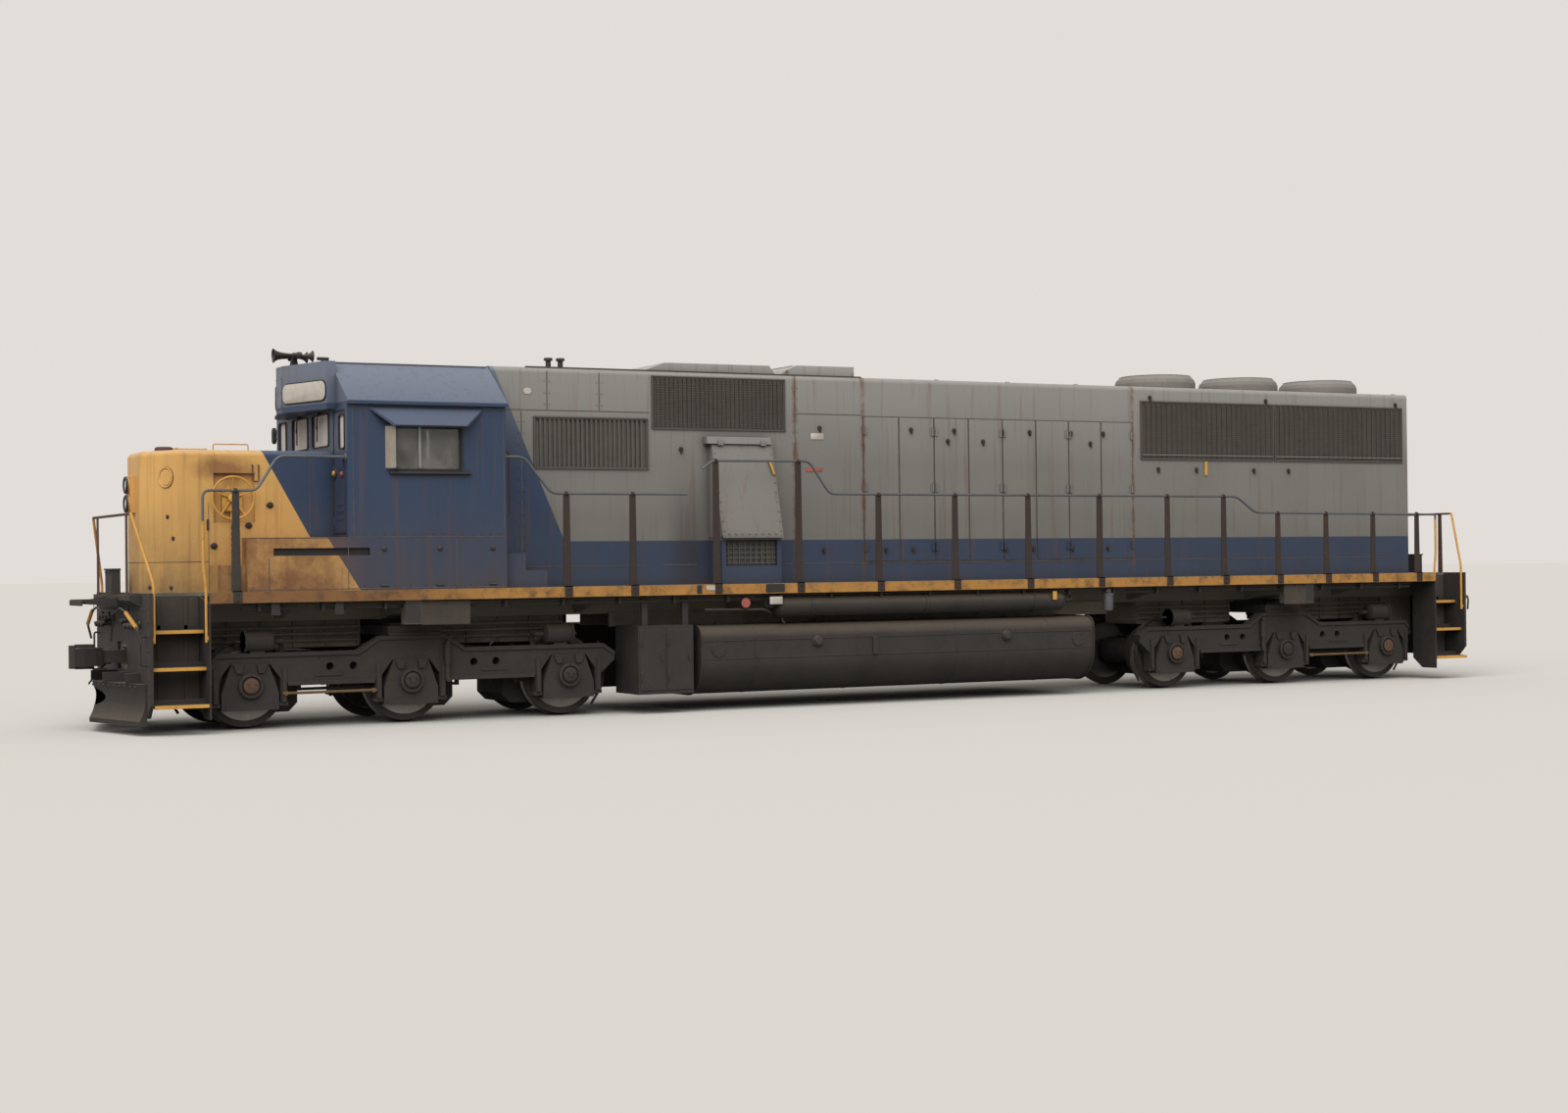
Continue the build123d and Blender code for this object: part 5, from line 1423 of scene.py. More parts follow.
# Control stand: brake and throttle levers, gauges and switch panel. Lockers on the rear wall.
def controlDesk():
    mesh = bmesh.new()
    for y, z in ((0.42, 3.1), (0.55, 3.13), (0.68, 3.1)):
        addTube(mesh, [(-7.3, y, z), (-7.22, y, z + 0.06), (-7.15, y, z + 0.05)], 0.011, 8, 0.02)
        addLathe(mesh, [(0, -0.02), (0.022, -0.012), (0.022, 0.012), (0, 0.02)], (-7.14, y, z + 0.05),
                 (1, 0, 0), 12)
    for y in (0.4, 0.53, 0.66, 0.79):
        addLathe(mesh, [(0.052, 0), (0.052, 0.018), (0.044, 0.02), (0.04, 0.01), (0, 0.01)],
                 (-7.345, y, 3.203), (0.8, 0, 0.6), 20)
    for y in (0.4, 0.5, 0.6, 0.7, 0.8):
        addBox(mesh, (-7.232, y - 0.03, 2.7), (-7.218, y + 0.03, 2.76))
    finishPiece("control_levers", mesh, "rubber", bevel=0.002)
    lockers = bmesh.new()
    for y0, y1 in ((-0.9, -0.32), (-0.3, 0.28), (0.3, 0.88)):
        addBox(lockers, (-5.985, y0, 2.34), (-5.952, y1, 3.55))
        addBox(lockers, (-5.995, y1 - 0.07, 2.85), (-5.983, y1 - 0.04, 3.0))
        for i in range(5):
            addBox(lockers, (-5.99, y0 + 0.08, 3.3 + i * 0.04), (-5.984, y1 - 0.08, 3.315 + i * 0.04))
    addBox(lockers, (-7.86, -0.6, 2.291), (-5.96, 0.6, 2.3))
    finishPiece("cab_lockers", lockers, "cabLining", bevel=0.004)


crewSeats()
controlDesk()
print("cab interior fitted out")


# Handrails: galvanised tube with bent corners on flat posts bolted to the side of the sill
rails = {"tube": 0.017, "bend": 0.09, "postWide": 0.054, "postNarrow": 0.042, "postThick": 0.008,
         "lap": 1.562}
leftPosts = (
    (-5.06, 2.83), (-4.14, 2.83), (-2.94, 3.27), (-1.71, 3.275), (-0.47, 2.835), (0.76, 2.835),
    (1.98, 2.835),
    (3.21, 2.835), (4.43, 2.835), (5.47, 2.835), (6.5, 2.585), (7.44, 2.58), (8.38, 2.575), (9.28, 2.57),
)
frontRun = [(-7.93, 3.265), (-8.77, 3.265), (-9.03, 2.85), (-9.67, 2.85), (-9.67, 2.48)]
frontLadder = [(-9.67, 2.49), (-9.67, 1.95), (-9.64, 1.7), (-9.64, 1.06)]
rearLadder = [(9.67, 2.49), (9.67, 1.95), (9.64, 1.7), (9.64, 1.06)]
leftRuns = (
    [(-5.89, 3.29), (-5.63, 3.29), (-5.26, 2.83), (-3.36, 2.83)],
    [(-3.13, 3.16), (-3.0, 3.27), (-1.54, 3.28), (-1.23, 2.84), (5.72, 2.83), (6.07, 2.59), (9.67, 2.56),
     (9.67, 2.48)],
)
rightRun = [(-5.89, 3.29), (-5.63, 3.29), (-5.26, 2.84), (5.72, 2.83), (6.07, 2.59), (9.67, 2.56),
            (9.67, 2.48)]


def addRun(mesh, run, y):
    addTube(mesh, [(x, y, z) for x, z in run], rails["tube"], 10, rails["bend"])


# Flat post that tapers to its eye, with its foot lapped over the deck edge and bolted to the sill
def addPost(mesh, x, top, side):
    wide, narrow, thick = rails["postWide"], rails["postNarrow"], rails["postThick"]
    outline = [(x - wide, deckZ), (x - narrow, top - 0.008), (x + narrow, top - 0.008), (x + wide, deckZ)]
    addPrism(mesh, outline, "y", side * railY - thick, side * railY + thick)
    out = side * rails["lap"]
    addBox(mesh, (x - wide, out, deckZ), (x + wide, side * (railY - thick), deckZ + 0.016))
    addBox(mesh, (x - wide, out, 1.525), (x + wide, side * halfWidth, deckZ + 0.016))
    for z in (1.55, 1.62):
        addBolt(mesh, (x, out, z), (0, side, 0), 0.014)
    addLathe(mesh, [(0.025, -0.02), (0.03, -0.014), (0.03, 0.014), (0.025, 0.02)], (x, side * railY, top),
             (1, 0, 0), 12)


def sideRails():
    runs, posts, ladders = newMeshes(3)
    for side in (-1, 1):
        y = side * railY
        addRun(runs, frontRun, y)
        for run in (leftRuns if side < 0 else (rightRun,)):
            addRun(runs, run, y)
        for ladder in (frontLadder, rearLadder):
            addRun(ladders, ladder, y)
        for x in (-9.635, 9.635):
            addBox(ladders, (x - 0.015, y - 0.02, 1.085), (x + 0.015, y + 0.02, 1.135))
        for x, top in leftPosts:
            addPost(posts, x, top if side < 0 else min(top, 2.835), side)
        for x, z, away in ((-7.93, 3.265, toFront), (-5.89, 3.29, toRear)):
            addLathe(runs, [(0.045, 0), (0.045, 0.01), (0.022, 0.02)], (x, y, z), away, 14)
    tube = finishPiece("side_rail_tubes", runs, "zincTube")
    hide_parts("side_handrails")
    finishPiece("side_rail_posts", posts, "postSteel", bevel=0.003)
    finishPiece("ladder_rails", ladders, "yellowEnamel")
    front = bmesh.new()
    for side in (-1, 1):
        addPost(front, -9.28, 2.85, side)
    finishPiece("front_rail_posts", front, "slatePaint", bevel=0.003)


def endRails():
    bars, ladders = newMeshes(2)
    for end in (-1, 1):
        barX, cornerX = end * 10.412, end * 10.24
        level = [(barX, -1.07, 2.585), (barX, 1.07, 2.585)]
        addTube(bars, level, rails["tube"], 10)
        for y in (-0.83, 0.83):
            outline = [(y - 0.046, 1.625), (y - 0.034, 2.585), (y + 0.034, 2.585), (y + 0.046, 1.625)]
            addPrism(bars, outline, "x", barX - 0.008, barX + 0.008)
            addBox(bars, (barX, y - 0.045, 1.625), (barX - end * 0.09, y + 0.045, 1.637))
            for inward in (0.03, 0.07):
                addBolt(bars, (barX - end * inward, y, 1.637), toTop, 0.012)
        for side in (-1, 1):
            stair = [(cornerX, side * 1.46, 1.06), (cornerX, side * 1.46, 1.75),
                     (cornerX + end * 0.0215, side * 1.414, 1.854),
                     (barX, side * 1.09, 2.585), (barX, side * 1.05, 2.585)]
            addTube(ladders, stair, rails["tube"], 10, 0.05)
            addBox(ladders, (end * 10.24, side * 1.46 - 0.02, 1.085),
                   (end * 10.26, side * 1.46 + 0.02, 1.135))
    bar = finishPiece("end_rail_bars", bars, "oxideTube", bevel=0.002)
    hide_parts("end_handrails")
    finishPiece("end_ladder_rails", ladders, "yellowEnamel")


# Ends: uncoupling lever, jumper boxes, pipe cocks, plough bolts, treads and step edges
ends = {"plate": 10.3, "ledge": 10.43, "lever": 10.46,
        "treads": ((0.33, 1.55), (0.765, 1.43), (1.2, 1.31))}


def endFittings():
    levers, grips, boxes, bolts, edges, lips, grates = newMeshes(7)
    for end in (-1, 1):
        x, plate = end * ends["ledge"], end * ends["plate"]
        lever, loop = end * ends["lever"], end * 10.37
        for s in (-1, 1):
            path = [(lever, s * 0.3, 1.4), (lever, s * 0.68, 1.47), (lever, s * 0.98, 1.42),
                    (x, s * 1.42, 1.24), (end * 10.38, s * 1.45, 1.06)]
            addTube(levers, path, 0.015, 8, 0.06)
            for y in (0.62, 1.02):
                addBox(levers, (min(x, plate), s * y - 0.02, 1.4),
                       (max(x, end * 10.475), s * y + 0.02, 1.5))
            # jumper receptacles and pipe cocks on the end plate
            for y, z in ((0.46, 1.33), (0.66, 1.28), (0.84, 1.28), (1.02, 1.28)):
                profile = [(0.045, 0), (0.045, 0.02), (0.026, 0.035), (0.026, 0.09), (0.034, 0.095),
                           (0.034, 0.125), (0, 0.13)]
                addLathe(boxes, profile, (plate, s * y, z), (end, 0, -0.25), 14)
                addBox(boxes, (end * 10.345, s * y - 0.012, z + 0.02), (loop, s * y + 0.012, z + 0.085))
            handle = ((plate, 0.8), (loop, 0.8), (loop, 1.14), (plate, 1.14))
            addTube(levers, [(reach, s * 1.32, z) for reach, z in handle], 0.012, 8, 0.03)
            addTube(grips, [(lever, s * 0.99, 1.418), (end * 10.432, s * 1.4, 1.25)], 0.024, 10)
            upright = [(1.44, 0.46 + i * 0.17) for i in range(7)]
            for y, z in upright + [(0.36 + i * 0.135, 1.45) for i in range(8)]:
                addBolt(bolts, (plate, s * y, z), (end, 0, 0), 0.014)
            for z, outer in ends["treads"]:
                low, high = sorted((end * 10.257, end * 9.625))
                addBox(edges, (low, s * (outer + 0.003), z - 0.036), (high, s * (outer - 0.022), z + 0.006))
                for k in range(7):
                    y = s * (outer - 0.045 - k * 0.03)
                    addBox(grates, (low + 0.02, y - 0.004, z - 0.002), (high - 0.02, y + 0.004, z + 0.01))
                for k in range(14):
                    bar = low + 0.04 + k * (high - low - 0.08) / 13
                    addBox(grates, (bar - 0.003, s * (outer - 0.03), z - 0.002),
                           (bar + 0.003, s * (outer - 0.235), z + 0.008))
        # brake pipe cock beside the coupler and its bent stub
        y = end * -0.4
        addTube(boxes, [(plate, y, 0.82), (end * 10.4, y, 0.82), (lever, y * 1.2, 0.74)], 0.032, 12, 0.05)
        addLathe(boxes, [(0.05, -0.03), (0.055, 0), (0.05, 0.03)], (end * 10.38, y, 0.82), (1, 0, 0), 14)
        addBox(boxes, (end * 10.36, y - 0.012, 0.86), (end * 10.4, y + 0.1, 0.875))
        # lid, hinge and catch of the jumper box
        addBox(boxes, (end * 10.296, end * -0.045, 1.925), (end * 10.425, end * -0.435, 1.945))
        for k in (0.14, 0.34):
            addPin(boxes, (end * 10.415, end * -k, 1.9), "y", 0.04, 0.012)
        # tread pattern and edge of the drop step
        for k in range(9):
            y = -0.32 + k * 0.08
            addBox(grates, (lever, y - 0.006, 1.564), (end * 10.84, y + 0.006, 1.572))
        addBox(lips, (end * 10.835, -0.362, 1.498), (end * 10.853, 0.362, 1.568))
    finishPiece("uncoupling_levers", levers, "castSteel")
    finishPiece("lever_grips", grips, "yellowEnamel")
    finishPiece("drop_step_edges", lips, "blackEnamel", bevel=0.003)
    finishPiece("end_pipe_cocks", boxes, "blackEnamel", bevel=0.003)
    finishPiece("end_plate_bolts", bolts, "blackEnamel")
    finishPiece("step_edges", edges, "yellowEnamel", bevel=0.003)
    finishPiece("step_gratings", grates, "blackEnamel")
    addChain("uncoupling_chain_front", (-10.46, -0.3, 1.4), (-10.46, -0.12, 1.06), 0.04)
    addChain("uncoupling_chain_rear", (10.46, 0.3, 1.4), (10.46, 0.12, 1.06), 0.04)


def ploughTrim():
    mesh = bmesh.new()
    sweep = atan2(10.7 - 10.39, 1.33)
    for side in (-1, 1):
        for i in range(9):
            y = 0.12 + i * 0.14
            x = -10.7 + y * tan(sweep)
            addBolt(mesh, (x, side * y, 0.548), (-1, side * 0.23, 0), 0.016)
        for y in (0.35, 0.95):
            x = -10.7 + y * tan(sweep)
            addBox(mesh, (x + 0.01, side * y - 0.012, 0.578), (-10.3, side * y + 0.012, 0.7))
    finishPiece("plough_bolts", mesh, "blackEnamel", bevel=0.002)


sideRails()
endRails()
endFittings()
ploughTrim()
print("handrails and ends fitted out")


# Trucks: ribs of the casting, brake gear, sand pipes and pedestal ties, in the truck's own
# axes with the outer axle at -X. The rear truck carries the same pieces turned round.
truckSides = {
    "axles": (-2.07, -0.0475, 2.07), "face": 1.06,
    "top": [(-2.535, 0.82), (-2.47, 0.9), (-0.72, 0.9), (-0.44, 1.07),
            (0.4, 1.07), (0.66, 0.9), (2.56, 0.9), (2.72, 0.79)],
    "cylinders": (-1.97, 1.97), "levers": (-1.42, 0.62, 1.42),
}


def truckDress(end):
    turn = -end
    label = "front" if end < 0 else "rear"
    ribs, gear, pipes = newMeshes(3)
    face = -truckSides["face"]
    for line in (truckSides["top"], [(-1.61, 0.545), (-0.52, 0.545)], [(0.43, 0.545), (1.6, 0.545)]):
        inner = [(x, z - 0.05) for x, z in reversed(line)]
        addPrism(ribs, line + inner, "y", face - 0.022, face + 0.002)
    for x in truckSides["axles"]:
        for edge in (-1, 1):
            jaw = ((0.44, 0.3), (0.45, 0.72), (0.4, 0.72), (0.385, 0.3))
            addPrism(ribs, [(x + edge * reach, z) for reach, z in jaw], "y", face - 0.02, face + 0.002)
            addBox(ribs, (x + edge * 0.36, -1.05, 0.255), (x + edge * 0.47, -0.91, 0.3))
            addBolt(ribs, (x + edge * 0.415, -0.98, 0.255), (0, 0, -1), 0.026)
        # cover ring and bolts of the bearing box
        addLathe(ribs, [(0.15, 0), (0.15, 0.022), (0.118, 0.028), (0.112, 0.002)], (x, -1.1, axleZ),
                 toLeft, 28)
        for place in circlePoints((x, -1.122, axleZ), 0.134, 6, "xz", 0.5):
            addBolt(ribs, place, toLeft, 0.012)
        for k in (-1, 1):
            horn = ((0.1, 0.66), (0.17, 0.66), (0.21, 0.77), (0.08, 0.77))
            addPrism(ribs, [(x + k * reach, z) for reach, z in horn], "y", -1.1, -1.068)
        addBox(ribs, (x - 0.3, -1.082, 0.215), (x + 0.3, -1.07, 0.26))
    # shoulder strap and bolts where the transoms meet the sides
    for x in (-1.1, 1.05):
        addBox(ribs, (x - 0.17, face - 0.014, 0.6), (x + 0.17, face, 0.63))
        for k in range(4):
            addBolt(ribs, (x - 0.12 + k * 0.08, face, 0.825), toLeft, 0.014)
    addBox(ribs, (-0.34, face - 0.03, 1.075), (0.34, face, 1.1))
    # brake cylinders: flange, piston rod, slack adjuster and hanging levers
    for x in truckSides["cylinders"]:
        away = 1 if x < 0 else -1
        addLathe(gear, [(0.145, 0), (0.145, 0.022), (0.125, 0.026)], (x - away * 0.165, -0.99, 1.035),
                 (away, 0, 0), 26)
        addLathe(gear, [(0.128, 0), (0.125, 0.02), (0.07, 0.05), (0.03, 0.055), (0.03, 0.17)],
                 (x + away * 0.165, -0.99, 1.035), (away, 0, 0), 22)
        for place in circlePoints((x - away * 0.165, -0.99, 1.035), 0.134, 8, "yz"):
            addBolt(gear, place, (-away, 0, 0), 0.011)
        rod = x + away * 0.33
        addPrism(gear, [(rod - 0.03, 1.08), (rod + 0.03, 1.08), (rod + 0.045, 0.66), (rod - 0.005, 0.62)],
                 "y", -0.885, -0.865)
        addTube(gear, [(rod, -0.99, 1.035), (rod, -0.87, 1.035)], 0.022, 8)
        elbow = x - away * 0.26
        addTube(pipes, [(x - away * 0.19, -0.99, 1.04), (elbow, -0.97, 1.04), (elbow, -0.9, 1.0),
                        (elbow, -0.6, 0.98)],
                0.014, 8, 0.04)
    for x in truckSides["levers"]:
        addPrism(gear, [(x - 0.035, 0.9), (x + 0.035, 0.9), (x + 0.028, 0.42), (x - 0.028, 0.42)], "y",
                 -0.875, -0.855)
        addLathe(gear, [(0.04, 0), (0.04, 0.03), (0, 0.03)], (x, -0.875, 0.86), toLeft, 12)
    for start, stop, z in ((-1.42, 0.62, 0.44), (0.62, 1.42, 0.5)):
        addTube(gear, [(start, -0.865, z), (stop, -0.865, z)], 0.02, 8)
    # vertical damper at the middle axle
    addPin(gear, (0.42, -1.1, 0.61), "z", 0.09, 0.032, 12)
    addPin(gear, (0.42, -1.1, 0.825), "z", 0.125, 0.044, 12)
    for z in (0.5, 0.97):
        addTube(gear, [(0.42, -1.05, z), (0.42, -1.14, z)], 0.026, 10)
    # sand pipes down to the rail at the outer wheels
    for way in (-1, 1):
        bends = ((2.57, -0.86, 0.92), (2.67, -0.8, 0.62), (2.67, -0.765, 0.34), (2.51, -0.755, 0.1))
        addTube(pipes, [(way * reach, y, z) for reach, y, z in bends], 0.017, 8, 0.08)
    brakePipe = bmesh.new()
    addTube(brakePipe, [(-1.68, -1.085, 0.405), (-0.5, -1.085, 0.405)], 0.018, 10)
    for x in (-1.64, -0.54):
        addBox(brakePipe, (x - 0.02, -1.1, 0.38), (x + 0.02, -1.05, 0.43))
    pads = bmesh.new()
    for k in range(3):
        addBox(pads, (-0.31, -1.045, 1.192 + k * 0.012), (0.31, -0.86, 1.199 + k * 0.012))
    for name, mesh, finish in (("casting_ribs", ribs, "castSteel"), ("brake_gear", gear, "castSteel"),
                               ("air_and_sand_pipes", pipes, "blackEnamel"),
                               ("brake_rod", brakePipe, "ochreRod"), ("bolster_pads", pads, "rubber")):
        addCopy(mesh, (1, -1, 1))
        for point in mesh.verts:
            point.co = Vector((point.co.x * turn + end * truckCentre, point.co.y * turn, point.co.z))
        finishPiece(f"{label}_truck_{name}", mesh, finish, f"{label}_truck",
                    bevel=0.004 if mesh is ribs else 0.0)


# Wheels: tread band, bearing cap screws, and the orange caps of some axles
def axleDress():
    for number, x in enumerate(axleX, start=1):
        caps = bmesh.new()
        for side in (-1, 1):
            addLathe(caps, [(0.094, 0), (0.094, 0.01), (0.08, 0.018), (0.035, 0.018), (0.03, 0.026),
                            (0, 0.026)], (x, side * 1.125, axleZ), (0, side, 0), 24)
            for place in circlePoints((x, side * 1.141, axleZ), 0.062, 3, "xz", 0.6 / pi):
                addBolt(caps, place, (0, side, 0), 0.018)
        finishPiece(f"axle_{number}_caps", caps, "capRust" if number in (1, 4, 6) else "castSteel",
                    f"axle_{number}")
        tread = bmesh.new()
        for side in (-1, 1):
            profile = [(0.5335, 0.6945), (0.5115, 0.7175), (0.5065, 0.8185)]
            addLathe(tread, profile, (x, 0, axleZ), (0, side, 0), 72)
        finishPiece(f"axle_{number}_tread", tread, "brightTread", f"axle_{number}")


truckDress(-1)
truckDress(1)
axleDress()
print("trucks fitted out")


# Under the frame: tank fittings, reservoirs, pipes along the sill, boxes and plates
tankLook = {"half": 1.45, "foot": 0.19, "top": 1.1, "lowBend": 0.45, "highBend": 0.18,
            "straps": (-2.35, -0.8, 0.8, 2.35)}


# The tank's left side as (y, z) from the foot to the top, grown outwards a little
def tankSide(grow):
    low, high = tankLook["lowBend"], tankLook["highBend"]
    points = []
    for i in range(7):
        turn = pi / 2 * i / 6
        points.append((-(tankLook["half"] - low + (low + grow) * sin(turn)),
                       tankLook["foot"] + low - (low + grow) * cos(turn)))
    for i in range(5):
        turn = pi / 2 * i / 4
        points.append((-(tankLook["half"] - high + (high + grow) * cos(turn)),
                       tankLook["top"] - high + (high + grow) * sin(turn)))
    return points


def tankTrim():
    mesh = bmesh.new()
    for x in tankLook["straps"]:
        addPrism(mesh, tankSide(0.006) + tankSide(-0.002)[::-1], "x", x - 0.012, x + 0.012)
    for z in (0.66, 0.9):
        addBox(mesh, (-3.12, -1.456, z - 0.006), (3.09, -1.446, z + 0.006))
    # filler with its cap, sight gauge and clean-out plate
    for x in (-1.417, 1.62):
        addLathe(mesh, [(0.075, 0), (0.075, 0.02), (0.055, 0.025), (0.055, 0.05), (0, 0.055)],
                 (x, -1.447, 0.86), (0, -1, 0.15), 20)
    addBox(mesh, (-0.56, -1.475, 0.66), (-0.48, -1.445, 0.9))
    for x in (-2.9, 2.85):
        addLathe(mesh, [(0.1, 0), (0.1, 0.012), (0, 0.012)], (x, -1.45, 0.78), toLeft, 22)
        for place in circlePoints((x, -1.462, 0.78), 0.078, 6, "xz"):
            addBolt(mesh, place, toLeft, 0.01)
    addCopy(mesh, (1, -1, 1))
    for x in (-2.6, 0.1, 2.6):
        addLathe(mesh, [(0.05, 0), (0.05, 0.03), (0.03, 0.035), (0.03, 0.06), (0, 0.06)], (x, 0.25, 0.19),
                 (0, 0, -1), 12)
    finishPiece("tank_fittings", mesh, "blackEnamel", bevel=0.002)
    # webs that hang the tank and the boxes from the centre sill
    hangers = bmesh.new()
    for side in (-1, 1):
        y = sorted((side * 0.46, side * 0.5))
        addPrism(hangers, [(-4.05, 1.1), (-4.05, 1.29), (4.05, 1.29), (4.05, 1.1), (3.3, 1.1),
                           (3.2, 1.095), (-3.2, 1.095)],
                 "y", y[0], y[1])
        for x in tankLook["straps"]:
            addBox(hangers, (x - 0.15, side * 0.5, 1.095), (x + 0.15, side * 0.56, 1.12))
            for across in (-0.1, 0.1):
                addBolt(hangers, (x + across, side * 0.53, 1.12), toTop, 0.016)
    # the hangers' pale finish is road dust plus painted fill light for the shade under the deck
    finishPiece("tank_hangers", hangers, "paleDustAndFill")


# Under the deck over each truck: cooling-air duct of the motors with its flanges, cable
# runs in their cleats, and the dark lining behind the step wells
underDuct = {"from": 7.42, "to": 9.55, "inner": (4.66, 6.47), "half": 0.37, "foot": 0.93, "top": 1.285,
             "pitch": 0.42}


def underframeDucts():
    mesh = bmesh.new()
    half, foot, top = underDuct["half"], underDuct["foot"], underDuct["top"]
    for start, stop in ((underDuct["from"], underDuct["to"]), underDuct["inner"]):
        outline = [(start, foot + 0.05), (start + 0.05, foot), (stop - 0.05, foot), (stop, foot + 0.05),
                   (stop, top), (start, top)]
        addPrism(mesh, outline, "y", -half, half)
        count = int((stop - start) / underDuct["pitch"])
        for i in range(count + 1):
            x = start + 0.03 + i * (stop - start - 0.06) / count
            for side in (-1, 1):
                addBox(mesh, (x - 0.012, side * half, foot + 0.01), (x + 0.012, side * (half + 0.025), top))
        for side in (-1, 1):
            for z in (1.02, 1.1, 1.18):
                addTube(mesh, [(start + 0.02, side * (half + 0.034), z),
                               (stop - 0.02, side * (half + 0.034), z)], 0.02, 8)
    addPrism(mesh, [(6.46, 1.235), (6.62, 1.235), (6.62, 1.285), (6.46, 1.285)], "y", -0.3, 0.3)
    # the ducts' pale finish is road dust plus painted fill light for the shade under the deck
    finishPiece("motor_air_ducts", mesh, "paleDustAndFill", bevel=0.004, mirror="x")
    lining = bmesh.new()
    for side in (-1, 1):
        addBox(lining, (9.625, side * 1.053, 0.31), (10.255, side * 1.062, 1.6))
        for x in (9.78, 10.1):
            addBox(lining, (x - 0.02, side * 1.062, 0.34), (x + 0.02, side * 1.075, 1.58))
    finishPiece("step_well_linings", lining, "brownDust", mirror="x")


def reservoirTrim():
    mesh = bmesh.new()
    # bands that hold the two tanks, and the weld seams between them
    for x, reach, thick in ((-1.5, 0.141, 0.012), (0.3, 0.141, 0.012), (2.1, 0.141, 0.012),
                            (-0.6, 0.137, 0.005), (1.2, 0.137, 0.005)):
        addTube(mesh, circlePoints((x, -1.37, 1.335), reach, 24, "yz"), thick, 4, closed=True)
    addTube(mesh, [(-2.03, -1.37, 1.335), (-2.16, -1.37, 1.335), (-2.16, -1.37, 1.46), (-2.16, -1.3, 1.5)],
            0.022, 10, 0.05)
    addTube(mesh, [(2.63, -1.37, 1.335), (2.8, -1.37, 1.335), (2.8, -1.3, 1.48)], 0.022, 10, 0.05)
    addTube(mesh, [(-1.9, -1.37, 1.2), (-1.9, -1.37, 1.13), (-1.9, -1.42, 1.12)], 0.012, 8, 0.02)
    finishPiece("reservoir_fittings", mesh, "blackEnamel", mirror="y")


# Plates on the side sill at each truck: start and end of the front and the rear one
sillPads = {-1: (-6.998, -6.365), 1: (6.6, 7.03)}


def sillPipes():
    mesh = bmesh.new()
    addTube(mesh, [(-9.2, -1.4, 1.44), (-7.25, -1.4, 1.44), (-7.1, -1.3, 1.44), (-6.75, -1.3, 1.44),
                   (-6.6, -1.4, 1.44), (9.2, -1.4, 1.44)], 0.022, 8, 0.08)
    addPin(mesh, (0, -1.44, 1.49), "x", 9.2, 0.013)
    addTube(mesh, [(-3.1, -1.45, 1.31), (-2.95, -1.45, 1.31), (-2.2, -1.45, 1.3), (-2.1, -1.4, 1.25)],
            0.016, 8, 0.06)
    for i in range(24):
        x = -9.0 + i * 0.78
        addBox(mesh, (x - 0.018, -1.47, 1.41), (x + 0.018, -1.36, 1.515))
    for x in (-8.817, -8.038):
        addPrism(mesh, [(x - 0.045, 1.51), (x + 0.045, 1.51), (x + 0.06, 1.36), (x - 0.06, 1.36)], "y",
                 -1.515, -1.495)
    finishPiece("sill_pipes", mesh, "blackEnamel", mirror="y")
    pads = bmesh.new()
    for end in (-1, 1):
        low, high = sillPads[end]
        addBox(pads, (low, -1.507, 1.205), (high, -1.5, 1.512))
        for x in (low + 0.04, (low + high) / 2, high - 0.04):
            addBolt(pads, (x, -1.507, 1.48), toLeft, 0.014)
        x = end * truckCentre
        addBox(pads, (x - 0.265, -1.508, 1.214), (x + 0.265, -1.28, 1.222))
    finishPiece("jacking_pad_covers", pads, "brownDust", bevel=0.004, mirror="y")


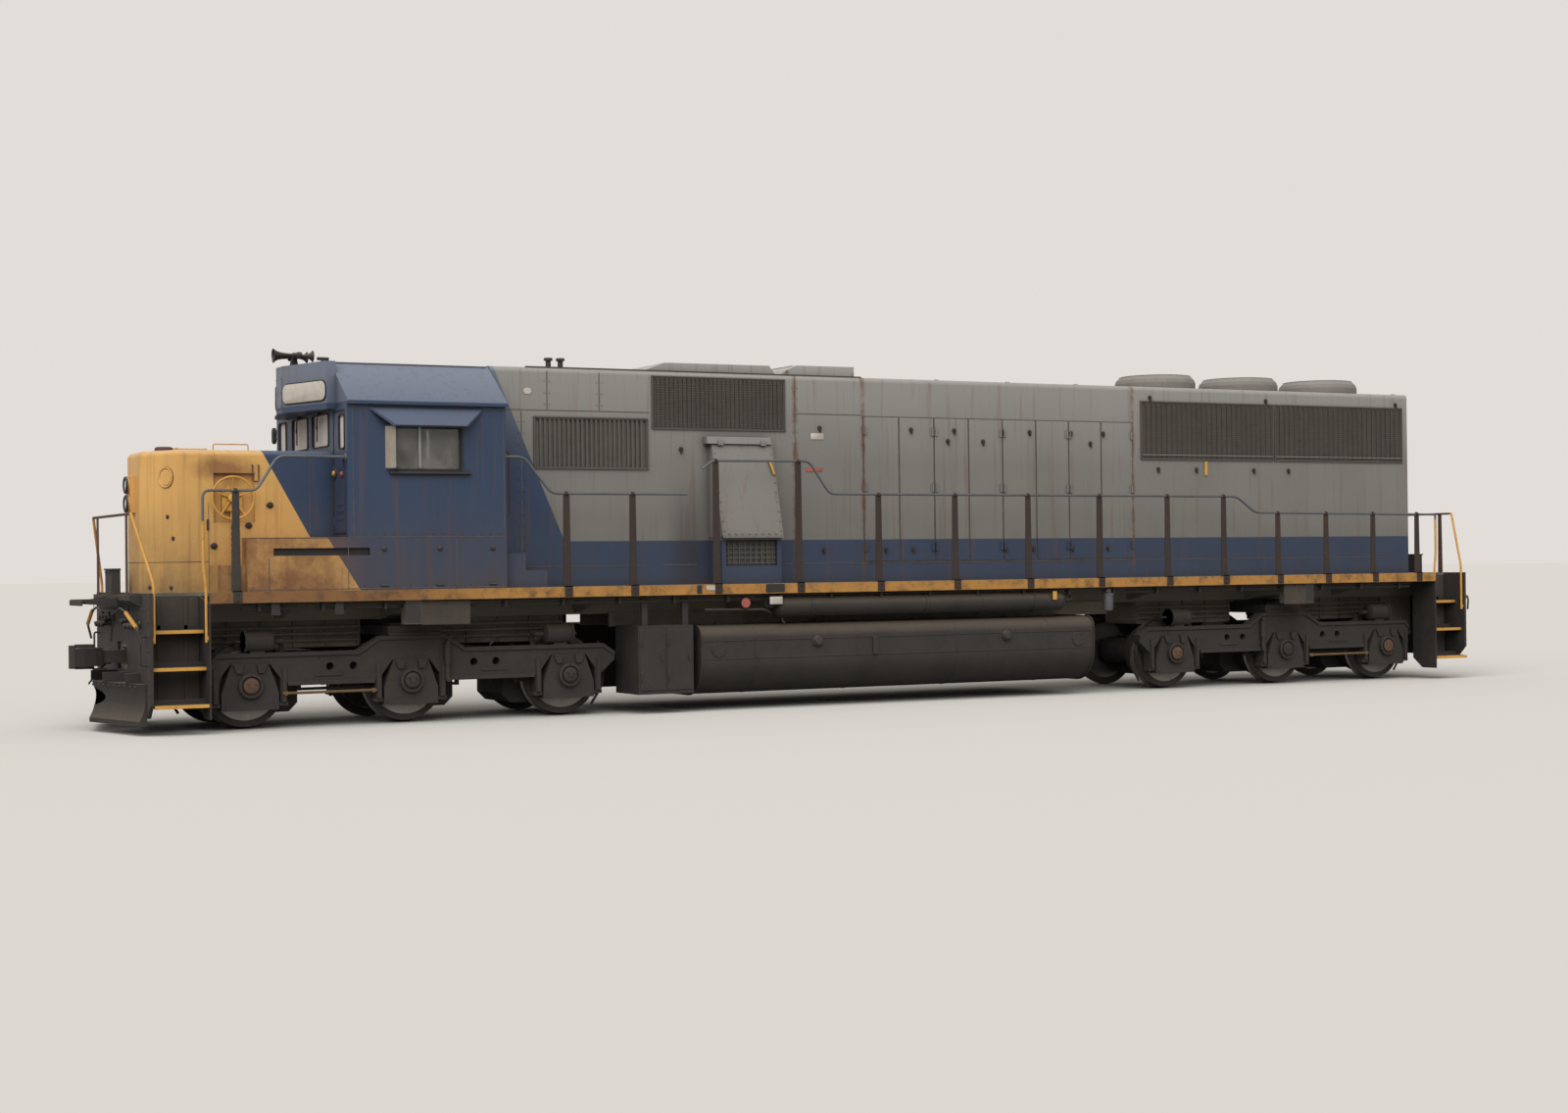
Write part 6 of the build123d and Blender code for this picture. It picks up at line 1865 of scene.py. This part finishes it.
def boxesAndPlates():
    mesh = bmesh.new()
    y = -1.43
    for x0, x1 in ((-4.03, -3.67), (-3.64, -3.28)):
        addBox(mesh, (x0, y - 0.01, 0.28), (x1, y, 1.07))
        for z in (0.46, 0.91):
            addPin(mesh, (x0 + 0.02, y - 0.016, z), "z", 0.06, 0.01)
        addBox(mesh, (x1 - 0.06, y - 0.022, 0.66), (x1 - 0.03, y - 0.01, 0.76))
    finishPiece("equipment_box_doors", mesh, "blackEnamel", bevel=0.003, mirror="y")
    filterBowl = bmesh.new()
    addLathe(filterBowl, [(0, 0), (0.06, 0.005), (0.075, 0.04), (0.075, 0.22), (0.085, 0.225), (0.085, 0.25),
                          (0.05, 0.27), (0.05, 0.32), (0, 0.32)], (3.4, -1.43, 1.17), toTop, 20)
    addTube(filterBowl, [(3.4, -1.43, 1.42), (3.4, -1.3, 1.48)], 0.02, 8)
    finishPiece("filter_bowl", filterBowl, "zincTube")
    plates = (
        ("red_marker_plate", -2.523, -1.512, 1.395, 0.13, 0.13, None, "redPlate"),
        ("white_marker_plate", -2.08, -1.53, 1.42, 0.19, 0.1, 0.01, "whiteAcrylic"),
        ("stripe_plate", -3.05, -1.549, 1.6, 0.13, 0.06, 0.01, "whiteAcrylic"),
        ("yellow_tag", 2.4, -1.53, 1.41, 0.07, 0.12, 0.01, "yellowEnamel"),
        ("small_white_plate", -1.107, -0.942, 3.65, 0.2, 0.085, 0.01, "whiteAcrylic"),
        ("small_red_plate", -1.16, -0.942, 3.19, 0.26, 0.05, 0.01, "redPlate"),
        ("oval_white_plate", -5.351, -0.942, 4.168, 0.11, 0.08, None, "whiteAcrylic"),
    )
    for name, x, y, z, wide, high, corner, finish in plates:
        plate = bmesh.new()
        addPlaque(plate, (x, y, z), (1, 0, 0), toTop, wide, high, 0.005, corner)
        finishPiece(name, plate, finish)
    # dark cover and clips that interrupt the stripe
    clips = bmesh.new()
    for x, half in ((-2.1, 0.14), (-3.22, 0.035)):
        addBox(clips, (x - half, -1.556, 1.53), (x + half, -1.549, 1.64))
        for across in (-0.7, 0.7):
            addBolt(clips, (x + across * half, -1.556, 1.585), toLeft, 0.008)
    finishPiece("sill_clips", clips, "blackEnamel", bevel=0.002)
    mirror = bmesh.new()
    addCushion(mirror, (-7.93, 1.68, 3.69), (0.05, 0.1, 0.2), 0.1, 5)
    bmesh.ops.remove_doubles(mirror, verts=mirror.verts, dist=0.0005)
    for inner, outer in ((3.64, 3.66), (3.74, 3.72)):
        addTube(mirror, [(-7.93, 1.55, inner), (-7.93, 1.66, outer)], 0.01, 6)
    finishPiece("side_mirror", mirror, "rubber")


tankTrim()
underframeDucts()
reservoirTrim()
sillPipes()
boxesAndPlates()
print("underframe fitted out")


# Rear end: number boards with their rims, hatch and grab irons
def rearEnd():
    plates, rims = newMeshes(2)
    for side in (-1, 1):
        across = Vector((9.95 - 9.63, -side * (hoodHalf - 0.3), 0)).normalized()
        centre = Vector((9.79, side * 0.62, 4.19))
        away = Vector((hoodHalf - 0.3, side * (9.95 - 9.63), 0)).normalized()
        along = across if across.cross(Vector(toTop)).dot(away) > 0 else -across
        for mesh, lift, grow, proud in ((plates, 0.014, 0, 0.006), (rims, 0.002, 0.04, 0.013)):
            addPlaque(mesh, centre + away * lift, along, toTop, 0.52 + grow, 0.2 + grow, proud)
    finishPiece("rear_number_boards", plates, "whiteAcrylic")
    finishPiece("rear_number_board_rims", rims, "rubber")
    mesh = bmesh.new()
    addBox(mesh, (9.948, -0.26, 2.15), (9.962, 0.26, 3.35))
    for z in (2.4, 3.1):
        addPin(mesh, (9.968, -0.24, z), "z", 0.05, 0.01)
    addLathe(mesh, [(0.03, 0), (0.03, 0.012), (0, 0.014)], (9.962, 0.2, 2.75), (1, 0, 0), 12)
    finishPiece("rear_hatch", mesh, "livery", bevel=0.003)
    irons = bmesh.new()
    for k in range(6):
        z = 2.15 + k * 0.36
        addGrab(irons, (9.7, 0.82, z), (9.84, 0.54, z), (0.88, 0.47, 0), 0.011, 0.06)
    finishPiece("rear_grab_irons", irons, "postSteel")


rearEnd()
print("rear end fitted out")
